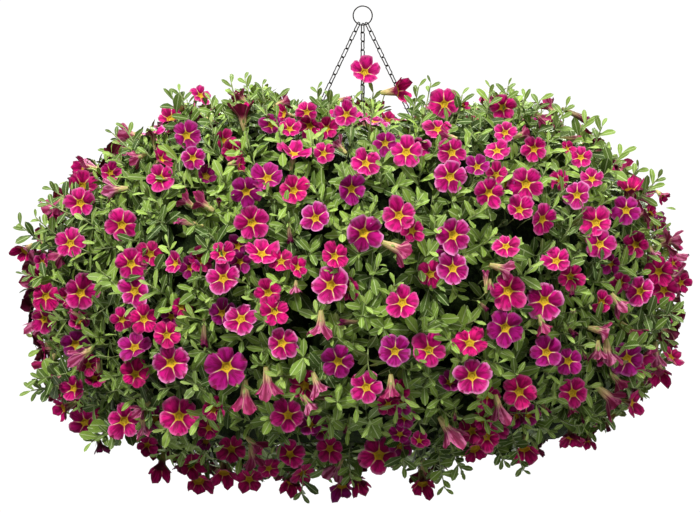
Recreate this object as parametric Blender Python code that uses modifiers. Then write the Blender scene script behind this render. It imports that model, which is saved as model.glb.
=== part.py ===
"""Calibrachoa hanging basket: a planted pot on three wire chains and a ring.

Metres, +Z up. The origin is the inner top of the ring, where a hook bears. -Y is the front,
+X is to its right. The pot hangs straight below the ring; the plant covers it on all sides.
"""
import math
import random

import bmesh
import bpy
import numpy as np
from mathutils import Matrix, Vector
from mathutils.bvhtree import BVHTree

# The photograph fixes places on the front: one of its pixels is this many metres here.
PIXEL = 0.00095
ORIGIN_PIXEL = (362.7, 6.8)

# Ring and chains
RING_RADIUS = 0.00905
RING_WIRE = 0.00075
RING_CENTRE_Z = -0.0083
CHAIN_AZIMUTHS = {"back": 90.0, "left": 210.0, "right": 330.0}
CHAIN_TOP_ANGLES = {"back": 270.0, "left": 234.0, "right": 306.0}
LINK_COUNT = 17
LINK_WIDTH = 0.0050
LINK_WIRE = 0.0010
LINK_OVERLAP = 0.0005
LINK_TWIST = 40.0
HOOK_WIRE = 0.0009
HOOK_LENGTH = 0.100
TOUCH_GAP = 0.0003

# Pot and soil
RIM_RADIUS = 0.136
RIM_Z = -0.242
RIM_THICKNESS = 0.004
HOOK_HOLE_PLACE = 0.1285
HOOK_HOLE_RADIUS = 0.0022
POT_INNER_TOP = 0.121
POT_INNER_BASE = 0.094
POT_WALL = 0.003
POT_DEPTH = 0.162
POT_SIDES = 22
DRAIN_HOLES = 5
DRAIN_RADIUS = 0.005
DRAIN_PLACE = 0.055
SOIL_DROP = 0.010
STEM_RADIUS = 0.0038
STEM_HOLE_DEPTH = 0.045
STEM_PLACE = 0.094

# Plant: its outline as (height, half width); the depth is a little less than the width
PLANT_MIDDLE_X = -0.007
DEPTH_OVER_WIDTH = 0.935
SIDE_OUTLINE = [
    (-0.072, 0.118), (-0.080, 0.155), (-0.095, 0.187), (-0.120, 0.228), (-0.150, 0.262),
    (-0.180, 0.285), (-0.215, 0.300), (-0.250, 0.306), (-0.300, 0.304), (-0.340, 0.298),
    (-0.375, 0.281), (-0.400, 0.255), (-0.415, 0.222), (-0.430, 0.185), (-0.445, 0.145),
    (-0.458, 0.100),
]
SKYLINE = [
    (-0.230, -0.122), (-0.188, -0.095), (-0.150, -0.079), (-0.112, -0.073), (-0.060, -0.083),
    (-0.017, -0.090), (0.020, -0.098), (0.052, -0.112), (0.083, -0.090), (0.130, -0.079),
    (0.168, -0.094), (0.230, -0.136),
]
CORE_INSET = 0.023
CORE_VALLEY = 0.010
CORE_INNER = 0.054
CORE_SKIRT_INNER = 0.143
BOUGH_COUNT = 15
BOUGH_GAP = 0.0012
CHAIN_SLOT = 0.0057
CENTRE_RADIUS = 0.050
BEND_RANGE = 0.008
ROOT_DEPTH = 0.006
SEED = 41
SPREAD_TRIES = 4000

# Blooms read off the front: pixel x, pixel y, width in pixels and the way each one is seen.
# F faces the front, T is tilted, S is a bell seen from the side, D lies deep, B is a bud
# or a withered bloom.
SEEN_BLOOMS = [
    (346, 114, 28, "F"), (307, 114, 22, "F"), (290, 127, 25, "T"),
    (294, 152, 34, "T"), (324, 153, 24, "T"), (271, 124, 14, "D"), (241, 98, 20, "S"),
    (286, 102, 20, "S"), (267, 177, 34, "F"), (246, 192, 28, "D"), (295, 189, 30, "F"),
    (352, 189, 30, "F"), (367, 164, 28, "F"), (384, 143, 25, "F"), (406, 152, 34, "F"),
    (238, 163, 15, "S"), (252, 223, 34, "F"), (316, 218, 31, "F"), (365, 233, 38, "F"),
    (400, 215, 34, "F"), (413, 230, 26, "T"), (399, 250, 26, "S"), (397, 91, 26, "S"),
    (202, 95, 24, "T"), (171, 117, 20, "S"), (187, 135, 32, "F"),
    (126, 135, 22, "S"), (153, 133, 28, "T"), (194, 158, 26, "T"), (161, 160, 22, "T"),
    (160, 178, 28, "T"), (83, 167, 20, "S"), (80, 204, 32, "F"), (115, 190, 24, "S"),
    (122, 224, 34, "F"), (70, 244, 33, "F"), (24, 251, 18, "S"), (187, 204, 18, "S"),
    (205, 202, 24, "S"), (205, 176, 12, "B"), (225, 140, 14, "S"), (236, 109, 16, "S"),
    (445, 104, 30, "F"), (503, 108, 28, "F"), (506, 131, 24, "T"), (534, 151, 27, "T"),
    (451, 153, 32, "F"), (496, 150, 27, "T"), (450, 176, 36, "F"), (476, 166, 24, "T"),
    (497, 174, 22, "T"), (525, 184, 36, "F"), (488, 193, 28, "T"), (568, 150, 18, "T"),
    (579, 156, 25, "T"), (520, 209, 27, "T"), (544, 219, 30, "T"), (578, 193, 27, "F"),
    (592, 178, 28, "T"), (631, 186, 27, "T"), (627, 209, 28, "F"), (642, 176, 18, "S"),
    (662, 194, 14, "S"), (596, 222, 34, "F"), (599, 244, 30, "F"), (455, 232, 34, "F"),
    (506, 245, 28, "F"), (565, 264, 34, "T"), (674, 242, 16, "S"), (544, 110, 17, "S"),
    (590, 124, 12, "B"), (526, 133, 14, "B"), (631, 244, 20, "D"), (129, 263, 33, "F"),
    (45, 295, 28, "T"), (81, 293, 32, "F"), (135, 290, 32, "F"), (177, 265, 28, "T"),
    (200, 257, 20, "D"), (223, 252, 28, "T"), (223, 277, 35, "F"), (41, 320, 30, "T"),
    (122, 320, 24, "F"), (144, 318, 30, "F"), (168, 335, 26, "T"), (44, 349, 22, "T"),
    (75, 345, 28, "D"), (134, 346, 32, "T"), (83, 356, 22, "S"), (172, 363, 36, "F"),
    (227, 368, 38, "F"), (241, 318, 34, "T"), (135, 375, 28, "T"), (70, 388, 24, "T"),
    (63, 410, 16, "S"), (84, 422, 27, "T"), (122, 421, 30, "T"), (181, 416, 38, "F"),
    (147, 427, 20, "S"), (214, 413, 16, "D"), (95, 378, 14, "S"), (261, 251, 32, "T"),
    (241, 262, 20, "D"), (295, 269, 28, "T"), (336, 256, 28, "F"), (330, 284, 37, "F"),
    (268, 292, 24, "T"), (275, 308, 32, "F"), (282, 343, 32, "F"), (402, 302, 37, "F"),
    (429, 273, 24, "T"), (339, 363, 33, "F"), (394, 351, 33, "F"), (427, 351, 34, "F"),
    (366, 387, 34, "F"), (321, 330, 19, "S"), (268, 386, 24, "S"), (244, 405, 26, "S"),
    (306, 386, 34, "D"), (392, 393, 21, "S"), (405, 388, 25, "D"), (288, 415, 34, "F"),
    (311, 424, 24, "D"), (291, 455, 30, "F"), (297, 474, 34, "D"), (330, 450, 24, "D"),
    (379, 455, 40, "F"), (404, 443, 16, "D"), (420, 440, 18, "S"), (260, 457, 25, "S"),
    (224, 472, 20, "S"), (249, 481, 28, "D"), (231, 446, 28, "D"), (335, 471, 20, "S"),
    (344, 488, 22, "D"), (361, 483, 16, "S"), (422, 485, 20, "S"), (210, 430, 14, "D"),
    (454, 266, 32, "F"), (509, 290, 36, "F"), (544, 301, 37, "F"), (610, 262, 15, "D"),
    (659, 273, 26, "F"), (640, 291, 31, "F"), (662, 292, 26, "F"), (682, 282, 18, "T"),
    (507, 327, 36, "F"), (471, 342, 34, "T"), (470, 376, 37, "F"), (547, 351, 32, "F"),
    (568, 360, 22, "T"), (606, 308, 15, "D"), (601, 332, 20, "S"), (606, 358, 26, "S"),
    (631, 362, 27, "T"), (657, 361, 20, "S"), (674, 351, 18, "S"), (573, 393, 34, "F"),
    (525, 393, 30, "T"), (516, 417, 28, "T"), (483, 434, 32, "D"), (450, 436, 20, "S"),
    (478, 452, 20, "T"), (525, 452, 24, "D"), (615, 401, 20, "S"), (634, 403, 26, "S"),
    (577, 441, 20, "S"), (609, 429, 12, "B"), (547, 412, 12, "B"), (544, 325, 14, "S"),
    (501, 269, 24, "S"), (646, 252, 16, "S"),
]

# Leafy shoots that stand out of the outline: pixel x and y of the root, then of the tip.
SEEN_SHOOTS = [
    (75, 385, 28, 390), (48, 240, 17, 222), (72, 205, 50, 186), (135, 160, 112, 130),
    (185, 125, 176, 94), (248, 118, 240, 82), (318, 118, 322, 86), (412, 128, 424, 80),
    (490, 112, 490, 82), (528, 120, 532, 93), (556, 130, 562, 102), (582, 145, 594, 116),
    (612, 175, 622, 148), (640, 195, 657, 172), (640, 318, 676, 314), (615, 352, 650, 340),
    (520, 430, 520, 470), (452, 445, 446, 488), (105, 420, 92, 452), (300, 470, 303, 496),
    (600, 415, 612, 442), (45, 270, 20, 275),
]

# Kinds of bloom: how far the face leans to the front, how far it hangs, its setback
LEAN_FRONT = {"F": 0.85, "T": 0.35, "S": 0.0, "D": 0.45, "B": 0.0}
HANG_DOWN = {"F": 0.05, "T": 0.25, "S": 0.75, "D": 0.15, "B": 0.5}
SETBACK = {"F": 0.0, "T": 0.003, "S": 0.004, "D": 0.012, "B": 0.0}
HIDDEN_BLOOM_SPACING = 0.052
HIDDEN_BLOOMS = 56
ROSETTE_SPACING = 0.060
ROSETTES = 22
ROSETTE_LEAVES = 4
SHOOT_LEAVES = 4
SHOOT_TIP_SETBACK = 0.012
SMALL_BLOOM = 0.0258
LEAF_LENGTH = 0.021
LEAF_WIDTH = 0.0085
LEAF_THICKNESS = 0.0013
LEAF_DROOP = 0.14


def clear_scene():
    for item in list(bpy.data.objects):
        bpy.data.objects.remove(item, do_unlink=True)


def new_collection(name):
    group = bpy.data.collections.new(name)
    bpy.context.scene.collection.children.link(group)
    return group


def make_material(name, colour, roughness, metallic=0.0):
    material = bpy.data.materials.new(name)
    material.use_nodes = True
    shader = material.node_tree.nodes["Principled BSDF"]
    shader.inputs["Base Color"].default_value = (*colour, 1.0)
    shader.inputs["Roughness"].default_value = roughness
    shader.inputs["Metallic"].default_value = metallic
    return material


def mesh_object(name, verts, faces, group, material=None):
    mesh = bpy.data.meshes.new(name)
    mesh.from_pydata([tuple(v) for v in verts], [], [tuple(f) for f in faces])
    mesh.update()
    item = bpy.data.objects.new(name, mesh)
    group.objects.link(item)
    if material is not None:
        mesh.materials.append(material)
    return item


def take_bmesh(build):
    """Vertices and faces of what build() adds to an empty bmesh."""
    shape = bmesh.new()
    build(shape)
    verts = np.array([v.co[:] for v in shape.verts])
    faces = [[v.index for v in f.verts] for f in shape.faces]
    shape.free()
    return verts, faces


def remove_object(item):
    mesh = item.data
    bpy.data.objects.remove(item, do_unlink=True)
    bpy.data.meshes.remove(mesh)


def apply_modifiers(item):
    """Bake the evaluated mesh into the object and drop its modifiers."""
    graph = bpy.context.evaluated_depsgraph_get()
    baked = bpy.data.meshes.new_from_object(item.evaluated_get(graph))
    old = item.data
    item.modifiers.clear()
    item.data = baked
    if isinstance(old, bpy.types.Mesh):
        bpy.data.meshes.remove(old)
    return item


def boolean_with(item, group, operation, solver="EXACT"):
    """Cut or join every object of a collection with the item, and apply it."""
    bpy.context.view_layer.update()
    modifier = item.modifiers.new(operation.title(), "BOOLEAN")
    modifier.operation = operation
    modifier.operand_type = "COLLECTION"
    modifier.collection = group
    modifier.solver = solver
    bpy.context.view_layer.update()
    apply_modifiers(item)
    for piece in list(group.objects):
        remove_object(piece)


def keep_largest_body(shape):
    """Delete the loose scraps that a union leaves in a bmesh."""
    left = set(shape.verts)
    bodies = []
    while left:
        body = {left.pop()}
        edge = list(body)
        while edge:
            here = edge.pop()
            for link in here.link_edges:
                other = link.other_vert(here)
                if other not in body:
                    body.add(other)
                    edge.append(other)
        left -= body
        bodies.append(body)
    bodies.sort(key=len)
    for body in bodies[:-1]:
        bmesh.ops.delete(shape, geom=list(body), context="VERTS")


def join_all(item, scrap):
    """Join every piece in the scrap collection to the item as one closed body."""
    boolean_with(item, scrap, "UNION", "MANIFOLD")
    shape = bmesh.new()
    shape.from_mesh(item.data)
    keep_largest_body(shape)
    shape.to_mesh(item.data)
    shape.free()


def smooth_shade(item, angle=35.0):
    item.data.shade_smooth()
    item.data.set_sharp_from_angle(angle=math.radians(angle))


def curve_tube(name, points, radius, group, resolution=0):
    curve = bpy.data.curves.new(name, "CURVE")
    curve.dimensions = "3D"
    curve.bevel_depth = radius
    curve.bevel_resolution = resolution
    curve.use_fill_caps = True
    spline = curve.splines.new("POLY")
    spline.points.add(len(points) - 1)
    for point, place in zip(spline.points, points):
        point.co = (*place, 1.0)
    item = bpy.data.objects.new(name, curve)
    group.objects.link(item)
    bpy.context.view_layer.update()
    graph = bpy.context.evaluated_depsgraph_get()
    mesh = bpy.data.meshes.new_from_object(item.evaluated_get(graph))
    shape = bmesh.new()
    shape.from_mesh(mesh)
    bmesh.ops.remove_doubles(shape, verts=shape.verts, dist=0.00001)
    bmesh.ops.recalc_face_normals(shape, faces=shape.faces)
    shape.to_mesh(mesh)
    shape.free()
    bpy.data.objects.remove(item, do_unlink=True)
    bpy.data.curves.remove(curve)
    solid = bpy.data.objects.new(name, mesh)
    group.objects.link(solid)
    return solid


def turned(name, profile, group, steps, material):
    """A closed profile of (radius, height), listed down its outer side, turned about Z."""
    mesh = bpy.data.meshes.new(name)
    edges = [(i, i + 1) for i in range(len(profile) - 1)]
    mesh.from_pydata([(r, 0.0, z) for r, z in profile], edges, [])
    mesh.materials.append(material)
    item = bpy.data.objects.new(name, mesh)
    group.objects.link(item)
    screw = item.modifiers.new("Turn", "SCREW")
    screw.steps = steps
    screw.render_steps = steps
    screw.use_merge_vertices = True
    screw.merge_threshold = 0.00002
    apply_modifiers(item)
    return item


def direction(azimuth, radius=1.0, z=0.0):
    angle = math.radians(azimuth)
    return Vector((radius * math.cos(angle), radius * math.sin(angle), z))


def from_pixel(px, py):
    return (px - ORIGIN_PIXEL[0]) * PIXEL, -(py - ORIGIN_PIXEL[1]) * PIXEL


def side_radius(z):
    heights = [-row[0] for row in SIDE_OUTLINE]
    return float(np.interp(-z, heights, [row[1] for row in SIDE_OUTLINE]))


def crown_height(x, y):
    """Height of the plant's upper face over a place inside its outline."""
    across = math.hypot(x - PLANT_MIDDLE_X, y / DEPTH_OVER_WIDTH)
    radii = [row[1] for row in SIDE_OUTLINE[:8]]
    shoulder = float(np.interp(across, radii, [row[0] for row in SIDE_OUTLINE[:8]]))
    skyline = float(np.interp(x, [row[0] for row in SKYLINE], [row[1] for row in SKYLINE]))
    return min(shoulder, skyline)


def surface_point(azimuth, height):
    """Place on the plant's outer face at a height below the crown's shoulder."""
    radius = side_radius(height)
    angle = math.radians(azimuth)
    return Vector((
        PLANT_MIDDLE_X + radius * math.cos(angle),
        DEPTH_OVER_WIDTH * radius * math.sin(angle),
        height,
    ))


def outward(place):
    """Unit vector out of the plant's mass at a place near its face."""
    middle = Vector((PLANT_MIDDLE_X, 0.0, -0.250))
    away = place - middle
    away = Vector((away.x, away.y / DEPTH_OVER_WIDTH, away.z * 1.25))
    if place.z > -0.125:
        away.z += 0.6 * away.length
    return away.normalized()


def front_place(px, py):
    """The place on the plant's front face that a pixel of the photograph shows."""
    x, z = from_pixel(px, py)
    radius = side_radius(z)
    share = min(abs(x - PLANT_MIDDLE_X) / radius, 0.985)
    return Vector((x, -DEPTH_OVER_WIDTH * radius * math.sqrt(1.0 - share * share), z))


def bough_of(place):
    azimuth = math.degrees(math.atan2(place.y, place.x))
    step = 360.0 / BOUGH_COUNT
    return int(((azimuth - CHAIN_AZIMUTHS["back"]) % 360.0) // step)


def bough_sides(index):
    """The two side planes of a bough's sector: inward unit normals and clearances."""
    step = 360.0 / BOUGH_COUNT
    start = CHAIN_AZIMUTHS["back"] + index * step
    sides = []
    for azimuth, turn in ((start, 90.0), (start + step, -90.0)):
        on_chain = any(abs((azimuth - a + 180) % 360 - 180) < 0.1 for a in CHAIN_AZIMUTHS.values())
        sides.append((direction(azimuth + turn), CHAIN_SLOT if on_chain else BOUGH_GAP))
    return sides


def squeeze(distance, reach):
    """Distances under reach are drawn in smoothly and stay above zero."""
    return np.where(distance < reach, reach * np.exp((distance - reach) / reach), distance)


def bend_clear(points, index):
    """Bend a bough's pieces clear of its neighbours, the chains and the centre spray."""
    points = np.array(points, dtype=float)
    for _ in range(2):
        for normal, clearance in bough_sides(index):
            normal = np.array(normal)
            distance = points @ normal - clearance
            points += np.outer(squeeze(distance, BEND_RANGE) - distance, normal)
    radius = np.hypot(points[:, 0], points[:, 1])
    wanted = CENTRE_RADIUS + squeeze(radius - CENTRE_RADIUS, BEND_RANGE)
    points[:, :2] *= (wanted / np.maximum(radius, 1e-6))[:, None]
    return points


def well_inside(place, index, margin=0.009):
    """The place moved clear of a bough's side planes, so that bending leaves it where it is."""
    for normal, clearance in bough_sides(index):
        distance = place.dot(normal) - clearance
        if distance < margin:
            place = place + normal * (margin - distance)
    radius = math.hypot(place.x, place.y)
    if radius < CENTRE_RADIUS + margin:
        grow = (CENTRE_RADIUS + margin) / radius
        place = Vector((place.x * grow, place.y * grow, place.z))
    return place


def core_profile(azimuth):
    """A bough's core in its own half plane: (radius, height), outer face first."""
    def crown(radius):
        place = direction(azimuth, radius)
        return crown_height(place.x, place.y) - CORE_INSET

    def flank(height):
        near = surface_point(azimuth, height)
        return math.hypot(near.x, near.y) - CORE_INSET, height

    outer = [(CORE_INNER, crown(CORE_INNER)), (0.110, crown(0.110)), (0.165, crown(0.175))]
    outer += [flank(z) for z in (-0.165, -0.220, -0.330, -0.390, -0.428)]
    outer[-1] = (max(outer[-1][0], CORE_SKIRT_INNER + 0.010), outer[-1][1])
    inner = [(CORE_SKIRT_INNER, -0.410), (CORE_SKIRT_INNER, RIM_Z + 0.010), (CORE_INNER, RIM_Z + 0.006)]
    return outer, inner


def make_core(index, group, material):
    """The leafy mass of one bough as a loft across its sector, lower at its two sides."""
    step = 360.0 / BOUGH_COUNT
    start = CHAIN_AZIMUTHS["back"] + index * step
    rows = []
    for place, azimuth in enumerate((start, start + step / 2, start + step)):
        outer, inner = core_profile(azimuth)
        if place != 1:
            outer = [(max(r - CORE_VALLEY * (i > 2), CORE_INNER), z - CORE_VALLEY * (i < 4))
                     for i, (r, z) in enumerate(outer)]
            outer[-1] = (max(outer[-1][0], CORE_SKIRT_INNER + 0.005), outer[-1][1] + 0.004)
        points = [direction(azimuth, r, z) for r, z in outer + inner]
        if place != 1:
            normal, clearance = bough_sides(index)[0 if place == 0 else 1]
            points = [p + normal * clearance for p in points]
        rows.append(points)
    count = len(rows[0])
    verts = [p for row in rows for p in row]
    faces = []
    for row in range(2):
        for i in range(count):
            j = (i + 1) % count
            a, b = row * count + i, row * count + j
            c, d = (row + 1) * count + j, (row + 1) * count + i
            faces.append((a, b, c, d))
    faces.append(tuple(reversed(range(count))))
    faces.append(tuple(2 * count + i for i in range(count)))
    item = mesh_object(f"Bough_{index + 1:02d}", verts, faces, group, material)
    shape = bmesh.new()
    shape.from_mesh(item.data)
    bmesh.ops.triangulate(shape, faces=shape.faces)
    bmesh.ops.recalc_face_normals(shape, faces=shape.faces)
    shape.to_mesh(item.data)
    shape.free()
    return item


def spine_point(place):
    """The nearest place well inside the cores to a place on the face."""
    spine = [(0.085, -0.180), (0.150, -0.180), (0.195, -0.205), (0.222, -0.260),
             (0.222, -0.320), (0.195, -0.375), (0.163, -0.400)]
    radius = math.hypot(place.x, place.y)
    r, z = min(spine, key=lambda p: (p[0] - radius) ** 2 + (p[1] - place.z) ** 2)
    step = 360.0 / BOUGH_COUNT
    middle = CHAIN_AZIMUTHS["back"] + (bough_of(place) + 0.5) * step
    azimuth = math.degrees(math.atan2(place.y, place.x))
    off = (azimuth - middle + 180.0) % 360.0 - 180.0
    return direction(middle + max(-step * 0.3, min(step * 0.3, off)), r, z)


def root_in(tree, place, target):
    """Where a stalk from a place toward a target ends, sunk into the core."""
    aim = (target - place).normalized()
    hit = tree.ray_cast(place - aim * 0.0001, aim)[0]
    if hit is None:
        return target
    return hit + aim * ROOT_DEPTH


def facing_frame(normal, twist):
    """A turn that takes +Z to the normal, with a twist about it."""
    base = normal.to_track_quat("Z", "Y").to_matrix().to_4x4()
    return base @ Matrix.Rotation(twist, 4, "Z")


def bloom_shape(place, normal, radius, root, twist):
    """A five-lobed trumpet: lobe tips, notches between them, a throat and the tube's foot."""
    turn = facing_frame(normal, twist)
    verts = []
    for i in range(5):
        angle = math.radians(72.0 * i)
        verts.append((radius * math.cos(angle), radius * math.sin(angle), 0.0))
    for i in range(5):
        angle = math.radians(72.0 * i + 36.0)
        notch = radius * 0.76
        verts.append((notch * math.cos(angle), notch * math.sin(angle), -0.27 * radius))
    verts.append((0.0, 0.0, -0.42 * radius))
    placed = [place + turn @ Vector(v) for v in verts] + [root]
    faces = []
    for i in range(5):
        j = (i + 1) % 5
        faces += [(i, 5 + i, 10), (5 + i, j, 10), (5 + i, i, 5 + (i - 1) % 5),
                  (5 + i, 5 + (i - 1) % 5, 11)]
    return placed, faces


def bell_shape(place, normal, radius, root, twist, sides=5):
    """A narrow trumpet seen from its side: a plain rim, a throat and the tube's foot."""
    turn = facing_frame(normal, twist)
    verts = []
    for i in range(sides):
        angle = 2.0 * math.pi * i / sides
        verts.append((radius * math.cos(angle), radius * math.sin(angle), 0.0))
    verts.append((0.0, 0.0, -0.35 * radius))
    placed = [place + turn @ Vector(v) for v in verts] + [root]
    faces = []
    for i in range(sides):
        j = (i + 1) % sides
        faces += [(i, j, sides), (j, i, sides + 1)]
    return placed, faces


def bud_shape(place, normal, length, radius, root):
    """A slim bud or withered bloom: three sides, pointed at its tip and foot."""
    turn = facing_frame(normal, 0.0)
    verts = [place + normal * length]
    for i in range(3):
        angle = 2.0 * math.pi * i / 3
        verts.append(place + turn @ Vector((radius * math.cos(angle), radius * math.sin(angle), 0.0)))
    verts.append(root)
    faces = [(0, 1, 2), (0, 2, 3), (0, 3, 1), (4, 2, 1), (4, 3, 2), (4, 1, 3)]
    return verts, faces


def leaf_shape(foot, aim, up, length):
    """A flat blade: a sphere of few sides, drawn out from its foot along aim."""
    verts, faces = take_bmesh(
        lambda shape: bmesh.ops.create_uvsphere(shape, u_segments=4, v_segments=2, radius=1.0)
    )
    across = up.cross(aim).normalized()
    lift = aim.cross(across).normalized()
    placed = []
    for v in verts:
        along = 0.5 * length * (1.0 + v[0])
        wide = 0.5 * LEAF_WIDTH * v[1] * (1.15 if v[0] > 0 else 0.95)
        high = 0.5 * LEAF_THICKNESS * v[2] - LEAF_DROOP * length * (0.5 + 0.5 * v[0]) ** 2
        placed.append(foot + aim * along + across * wide + lift * high)
    return placed, faces


def stalk_shape(start, end, radius):
    """A three-sided stalk, thinner at its end."""
    turn = facing_frame((end - start).normalized(), 0.0)
    verts = []
    for place, size in ((start, radius), (end, radius * 0.6)):
        for i in range(3):
            angle = 2.0 * math.pi * i / 3
            verts.append(place + turn @ Vector((size * math.cos(angle), size * math.sin(angle), 0)))
    faces = [(0, 2, 1), (3, 4, 5)]
    for i in range(3):
        j = (i + 1) % 3
        faces += [(i, j, 3 + j), (i, 3 + j, 3 + i)]
    return verts, faces


def spread(i):
    """The i-th of a row of places that fill a rectangle evenly: a share and an azimuth."""
    return (0.5 + i * 0.7548776662) % 1.0, 360.0 * ((0.5 + i * 0.5698402910) % 1.0)


def plan_blooms():
    """Every bloom's place, width and kind: the ones seen first, then a rule for the rest."""
    draw = random.Random(SEED)
    blooms = []
    for px, py, width, kind in SEEN_BLOOMS:
        blooms.append((front_place(px, py), width * PIXEL, kind, True))
    added = 0
    for i in range(SPREAD_TRIES):
        if added == HIDDEN_BLOOMS:
            break
        share, azimuth = spread(i)
        if share < 0.30:
            reach = 0.058 + 0.150 * math.sqrt(share / 0.30)
            place = direction(azimuth, reach)
            place.z = crown_height(place.x, place.y)
        else:
            place = surface_point(azimuth, -0.115 - 0.330 * (share - 0.30) / 0.70)
        if any((place - other[0]).length < HIDDEN_BLOOM_SPACING for other in blooms):
            continue
        kind = draw.choices("FTSD", (52, 26, 14, 8))[0]
        width = draw.uniform(0.026, 0.036) if kind in "FT" else draw.uniform(0.016, 0.024)
        blooms.append((place, width, kind, False))
        added += 1
    return blooms


def plan_rosettes(blooms):
    """Leafy shoot tips between the blooms, evenly over every side."""
    places = []
    for i in range(SPREAD_TRIES):
        if len(places) == ROSETTES:
            break
        share, azimuth = spread(i)
        if share < 0.22:
            place = direction(azimuth, 0.062 + 0.140 * math.sqrt(share / 0.22))
            place.z = crown_height(place.x, place.y) - 0.004
        else:
            place = surface_point(azimuth, -0.110 - 0.335 * (share - 0.22) / 0.78)
        if any((place - b[0]).length < 0.010 + 0.5 * b[1] for b in blooms):
            continue
        if any((place - p).length < ROSETTE_SPACING for p in places):
            continue
        places.append(place)
    return places


def bloom_facing(place, kind, seen, draw):
    """The way a bloom faces: out of the mass, leaning to the viewer, hanging when a bell."""
    lean = Vector((0.0, -1.0, 0.0)) if seen else outward(place)
    down = Vector((0.0, 0.0, -1.0))
    side = Vector((draw.uniform(-1, 1), draw.uniform(-1, 1), draw.uniform(-0.6, 0.6))) * 0.28
    away = outward(place)
    if kind == "S":
        away = Vector((away.x, away.y, max(away.z, -0.1)))
    return (away * 0.75 + lean * LEAN_FRONT[kind] + down * HANG_DOWN[kind] + side).normalized()


def add_pieces(shapes, group, name):
    for count, (verts, faces) in enumerate(shapes):
        mesh_object(f"{name}_{count}", verts, faces, group)


def bloom_piece(bloom, tree, target, draw, index):
    place, width, kind, seen = bloom
    normal = bloom_facing(place, kind, seen, draw)
    centre = place - outward(place) * SETBACK[kind] + outward(place) * draw.uniform(0.0, 0.006)
    centre = well_inside(centre, index)
    root = well_inside(root_in(tree, centre, target), index)
    tube = (centre - root).normalized()
    if normal.dot(tube) < 0.55:
        normal = (normal + tube * (0.9 - normal.dot(tube))).normalized()
    twist = draw.uniform(0.0, 2.0 * math.pi)
    if kind == "B":
        return bud_shape(centre, normal, 0.008, 0.004, root)
    if kind in "SD" or width < SMALL_BLOOM:
        return bell_shape(centre, normal, 0.55 * width, root, twist)
    return bloom_shape(centre, normal, 0.52 * width, root, twist)


def rosette_pieces(place, tree, target, draw, index):
    """A shoot tip: a short stalk out of the core with leaves spread about its end."""
    place = well_inside(place, index)
    root = well_inside(root_in(tree, place, target), index)
    axis = (place - root).normalized()
    side = axis.cross(Vector((0.3, 0.2, 1.0))).normalized()
    shapes = [stalk_shape(root, place, 0.0013)]
    start = draw.uniform(0.0, 360.0)
    for i in range(ROSETTE_LEAVES):
        turn = Matrix.Rotation(math.radians(start + i * 137.5), 3, axis)
        spread = turn @ side
        aim = (axis * draw.uniform(0.35, 0.75) + spread).normalized()
        foot = place - axis * (0.0015 + 0.003 * i) - aim * 0.0006
        shapes.append(leaf_shape(foot, aim, axis, LEAF_LENGTH * draw.uniform(0.85, 1.1)))
    return shapes


def shoot_pieces(row, tree, draw, index):
    """A leafy shoot that stands out of the outline."""
    start = front_place(row[0], row[1])
    x, z = from_pixel(row[2], row[3])
    tip = Vector((x, start.y * 0.9, z))
    tip = well_inside(tip - (tip - start).normalized() * SHOOT_TIP_SETBACK, index)
    root = well_inside(root_in(tree, start, spine_point(start)), index)
    axis = (tip - root).normalized()
    side = axis.cross(Vector((0.0, 1.0, 0.15))).normalized()
    length = (tip - root).length
    shapes = [stalk_shape(root, tip, 0.0014)]
    for i in range(SHOOT_LEAVES):
        place = tip - axis * (0.002 + (i // 2) * 0.009)
        turn = Matrix.Rotation(math.radians(180.0 * (i % 2) + 65.0 * (i // 2)), 3, axis)
        lean = draw.uniform(0.5, 0.9) if i > 1 else 1.5
        aim = (axis * lean + turn @ side).normalized()
        if (place - root).length < 0.3 * length:
            continue
        shapes.append(leaf_shape(place - aim * 0.0006, aim, axis.cross(aim) * 0.6 + axis,
                                 LEAF_LENGTH * draw.uniform(0.85, 1.1)))
    return shapes


def stem_places():
    """Where each bough's stem enters the soil, and last the centre spray's."""
    step = 360.0 / BOUGH_COUNT
    places = [direction(CHAIN_AZIMUTHS["back"] + (i + 0.5) * step, STEM_PLACE)
              for i in range(BOUGH_COUNT)]
    return places + [Vector((0.0, 0.0, 0.0))]


def add_stem(place, top, scrap):
    """A woody stem from inside a core down into its hole in the soil."""
    foot = RIM_Z - SOIL_DROP - STEM_HOLE_DEPTH + 0.001
    curve_tube("Stem", [place + Vector((0.0, 0.0, top)), place + Vector((0.0, 0.0, foot))],
               STEM_RADIUS, scrap, 1)


def build_boughs(group, scrap, material):
    blooms = plan_blooms()
    rosettes = plan_rosettes(blooms)
    for index in range(BOUGH_COUNT):
        draw = random.Random(SEED + 100 + index)
        core = make_core(index, group, material)
        shape = bmesh.new()
        shape.from_mesh(core.data)
        tree = BVHTree.FromBMesh(shape)
        shape.free()
        shapes = []
        for bloom in blooms:
            if bough_of(bloom[0]) == index and math.hypot(bloom[0].x, bloom[0].y) > CENTRE_RADIUS:
                shapes.append(bloom_piece(bloom, tree, spine_point(bloom[0]), draw, index))
        for place in rosettes:
            if bough_of(place) == index:
                shapes += rosette_pieces(place, tree, spine_point(place), draw, index)
        for row in SEEN_SHOOTS:
            if bough_of(front_place(row[0], row[1])) == index:
                shapes += shoot_pieces(row, tree, draw, index)
        shapes = [(bend_clear(verts, index), faces) for verts, faces in shapes]
        add_pieces(shapes, scrap, core.name)
        add_stem(stem_places()[index], RIM_Z + 0.030, scrap)
        join_all(core, scrap)


def torus(name, ring_radius, wire_radius, around, about, group):
    """A ring of round wire about +Z, made at the origin."""
    bpy.ops.mesh.primitive_torus_add(major_radius=ring_radius, minor_radius=wire_radius,
                                     major_segments=around, minor_segments=about)
    item = bpy.context.active_object
    item.name = name
    item.data.name = name
    for holder in list(item.users_collection):
        holder.objects.unlink(item)
    group.objects.link(item)
    return item


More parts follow.
